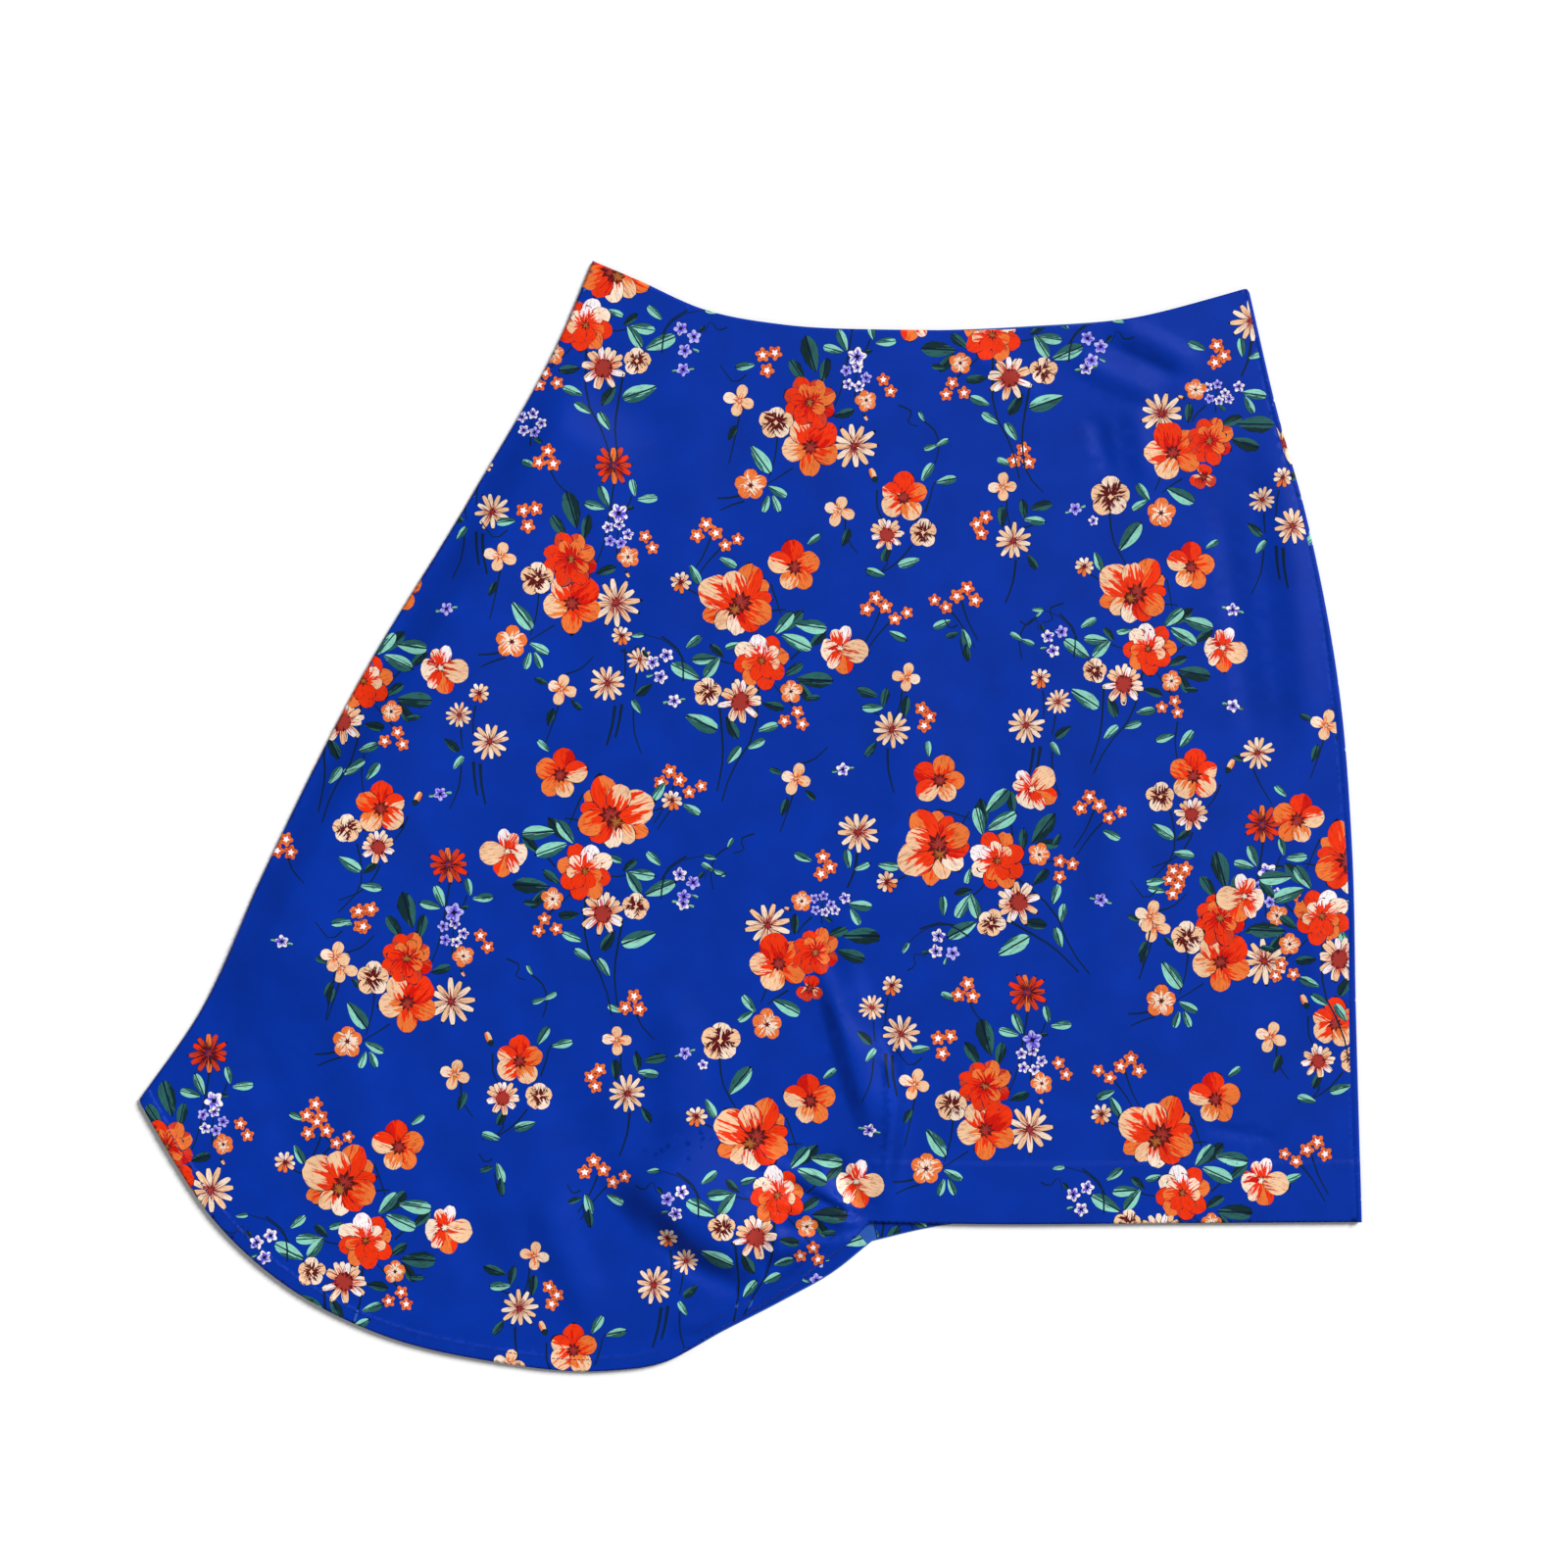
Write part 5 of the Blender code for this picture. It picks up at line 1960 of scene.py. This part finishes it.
def hem_stitches(relief: FrontRelief) -> bpy.types.Object:
    """The threads that show on the front: a run along the narrow hem, pricks along the deep one.

    Each stitch is a flat six-sided bar, x = length / 2 · (-1, -0.6, 0.6, 1, 0.6, -0.6) along the
    hem, with its top 0.16 mm above the cloth and its foot 0.2 mm inside it.

    Args:
        relief: the front's heights.

    Returns:
        The joined stitches.
    """
    line = FRONT_PLAN.lines[Edge.HEM]
    at = np.concatenate([[0.0], np.cumsum(np.linalg.norm(np.diff(line.line, axis=0), axis=1))])
    shares = np.array([-1.0, -0.6, 0.6, 1.0, 0.6, -0.6]), np.array([0.0, -1.0, -1.0, 0.0, 1.0, 1.0])
    rows = []
    for low, high, inside, pitch, length, width in (
        (-352.0, 62.0, LONG_HEM_DEPTH - 0.9, 2.6, 1.9, 0.42),
        (80.0, 354.0, SHORT_HEM_DEPTH + 0.4, 6.5, 0.9, 0.5),
    ):
        where = np.arange(0, at[-1], pitch)
        spots = np.stack([np.interp(where, at, line.line[:, 0]), np.interp(where, at, line.line[:, 1])], axis=1)
        spots = spots[(spots[:, 0] > low) & (spots[:, 0] < high)]
        _, outward = line.reach(spots[:, 0], spots[:, 1])
        spots = spots - inside * outward
        along = np.stack([-outward[:, 1], outward[:, 0]], axis=1)
        reach = length / 2 * shares[0][:, None] * along[:, None]
        rows.append(spots[:, None] + reach + width / 2 * shares[1][:, None] * outward[:, None])
    rings = np.concatenate(rows)
    level = relief.height(rings[..., 0], rings[..., 1])
    top, foot = np.dstack([rings, level + 0.16]), np.dstack([rings, level - 0.2])
    places = np.concatenate([top, foot], axis=1).reshape(-1, 3) * MM
    sides = [(k, k + 6, (k + 1) % 6 + 6, (k + 1) % 6) for k in range(6)]
    faces = [[0, 1, 2, 3, 4, 5], [11, 10, 9, 8, 7, 6], *sides]
    every = [[corner + 12 * number for corner in face] for number in range(len(rings)) for face in faces]
    mesh = bpy.data.meshes.new("hem_stitches")
    mesh.from_pydata(places.tolist(), [], every)
    item = bpy.data.objects.new("hem_stitches", mesh)
    bpy.context.scene.collection.objects.link(item)
    tidy = bmesh.new()
    tidy.from_mesh(mesh)
    bmesh.ops.recalc_face_normals(tidy, faces=tidy.faces)
    tidy.to_mesh(mesh)
    tidy.free()
    mesh.materials.append(SewingThread().make())
    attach(item, "root")
    LOG.info("hem_stitches: %d stitches", len(rings))
    return item


def build_skirt() -> None:
    """Makes the seven cut pieces."""
    satin, plain = PrintedSatin().make(), PlainInside().make()
    relief = FrontRelief((*MAIN_RIDGES, *FINE_RIDGES))
    front_outline = FRONT_PLAN.outline(lambda y: -seam_inset(y))
    back_outline = BACK_PLAN.outline(seam_inset)
    low, high = front_outline.min(0), front_outline.max(0)
    bends = bend_points(relief, low, high, ((9.0, 0.0), (4.5, 0.012), (2.6, 0.07)))
    wide_bends = bend_points(relief, low, high, ((9.0, 0.0), (4.5, 0.012), (3.0, 0.09)))
    rolls = (0.25, 0.6, 1.1, 1.8, 2.8)
    small = (0.3, 0.8, 1.6)
    deep = (SHORT_HEM_DEPTH - 1, SHORT_HEM_DEPTH + 1, SHORT_HEM_DEPTH + 3)
    narrow = (LONG_HEM_DEPTH - 0.5, LONG_HEM_DEPTH + 0.5, LONG_HEM_DEPTH + 1.5)
    lines, under = FRONT_PLAN.lines, BACK_PLAN.lines
    front_rows = [
        edge_rows(lines[Edge.LEFT], rolls, 4.0),
        edge_rows(lines[Edge.WAIST], small, 4.0),
        edge_rows(lines[Edge.HEM], small + deep + narrow, 4.0),
        edge_rows(lines[Edge.RIGHT], (4.5, 5.5, 7.0), 4.0),
    ]
    back_points = np.concatenate(
        [
            flat_grid(low, high, 9.0),
            edge_rows(under[Edge.LEFT], rolls, 4.0),
            edge_rows(under[Edge.RIGHT], (2.8, 1.8, 1.2, 0.6, 0.0, -0.6, -1.2, -1.8, -2.6, -3.4), 3.0),
        ]
    )
    printed_face, back_print = printed(), printed((0.0, 0.0), 180.0)
    pieces = [
        ClothPiece(
            "front_panel_cloth",
            "front_panel",
            front_outline,
            FrontFace(relief),
            printed_face,
            np.concatenate([bends, *front_rows]),
            np.concatenate([wide_bends, *front_rows]),
            PANEL_CUT,
            PANEL_AREA,
            ("back_panel_cloth",),
            ("hem_stitches",),
        ),
        ClothPiece(
            "back_panel_cloth",
            "back_panel",
            back_outline,
            BackFace(relief),
            back_print,
            back_points,
            back_points,
            PANEL_CUT,
            PANEL_AREA,
            ("floor",),
        ),
    ]
    top, bottom = InnerFace(relief, True), InnerFace(relief, False)
    strips = (
        ("front_short_hem", strip_ring(lines[Edge.HEM], 1.2, SHORT_HEM_DEPTH, GATHER_X + 2, 357.0), top),
        ("front_long_hem", strip_ring(lines[Edge.HEM], 1.2, LONG_HEM_DEPTH, -357.0, GATHER_X - 3), top),
        ("back_short_hem", strip_ring(under[Edge.HEM], 0.9, SHORT_HEM_DEPTH, 74.0, 357.0), bottom),
        ("back_long_hem", strip_ring(under[Edge.HEM], 0.9, LONG_HEM_DEPTH, -357.0, 71.0), bottom),
        ("back_waist_facing", strip_ring(under[Edge.WAIST], 0.9, FACING_DEPTH, -88.0, 290.0), bottom),
    )
    cuts = ((292.0, 35.0), (505.0, 10.0), (290.0, 35.0), (505.0, 10.0), (390.0, 40.0))
    for (node, ring, face), cut in zip(strips, cuts):
        points = flat_grid(ring.min(0), ring.max(0), 4.0)
        paint = back_print if face is bottom else Paint()
        area = cut[0] * min(cut[1], LONG_HEM_DEPTH) if "long" in node else cut[0] * cut[1]
        on = ("back_panel_cloth",)
        pieces.append(ClothPiece(node + "_cloth", node, ring, face, paint, points, points, cut, area, on))
    hem_stitches(relief)
    for piece in pieces:
        piece.build((satin, plain))


def set_stage() -> None:
    """The white floor, the lights and the camera over the skirt."""
    reach, low = 4.0, -0.0002
    floor_mesh = bpy.data.meshes.new("floor")
    corners = [(-reach, -reach, low), (reach, -reach, low), (reach, reach, low), (-reach, reach, low)]
    floor_mesh.from_pydata(corners, [], [(0, 1, 2, 3)])
    floor = bpy.data.objects.new("floor", floor_mesh)
    bpy.context.scene.collection.objects.link(floor)
    matt = bpy.data.materials.new("white_paper")
    matt.use_nodes = True
    matt.node_tree.nodes["Principled BSDF"].inputs["Base Color"].default_value = (0.9, 0.9, 0.9, 1)
    matt.node_tree.nodes["Principled BSDF"].inputs["Roughness"].default_value = 0.9
    floor_mesh.materials.append(matt)
    world = bpy.data.worlds.new("studio")
    bpy.context.scene.world = world
    world.use_nodes = True
    world.node_tree.nodes["Background"].inputs["Color"].default_value = (1, 1, 1, 1)
    world.node_tree.nodes["Background"].inputs["Strength"].default_value = 0.34
    light = bpy.data.lights.new("large_softbox", "SUN")
    light.angle = math.radians(22)
    light.energy = 3.9
    lamp = bpy.data.objects.new("large_softbox", light)
    lamp.location = (1.3, 1.0, 1.4)
    lamp.rotation_euler = (Vector((0, 0, 0)) - lamp.location).to_track_quat("-Z", "Y").to_euler()
    bpy.context.scene.collection.objects.link(lamp)
    camera = bpy.data.cameras.new("camera")
    camera.lens = 58.2
    camera.sensor_width = 36.0
    view = bpy.data.objects.new("camera", camera)
    view.location = (0.0197, 0.0189, 1.5036)
    bpy.context.scene.collection.objects.link(view)
    bpy.context.scene.camera = view
    bpy.context.scene.view_settings.view_transform = "Standard"


def main() -> None:
    """Loads the frame, makes the skirt and its stage."""
    logging.basicConfig(level=logging.INFO, format="%(name)s: %(message)s")
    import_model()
    build_skirt()
    set_stage()


if __name__ == "__main__":
    main()
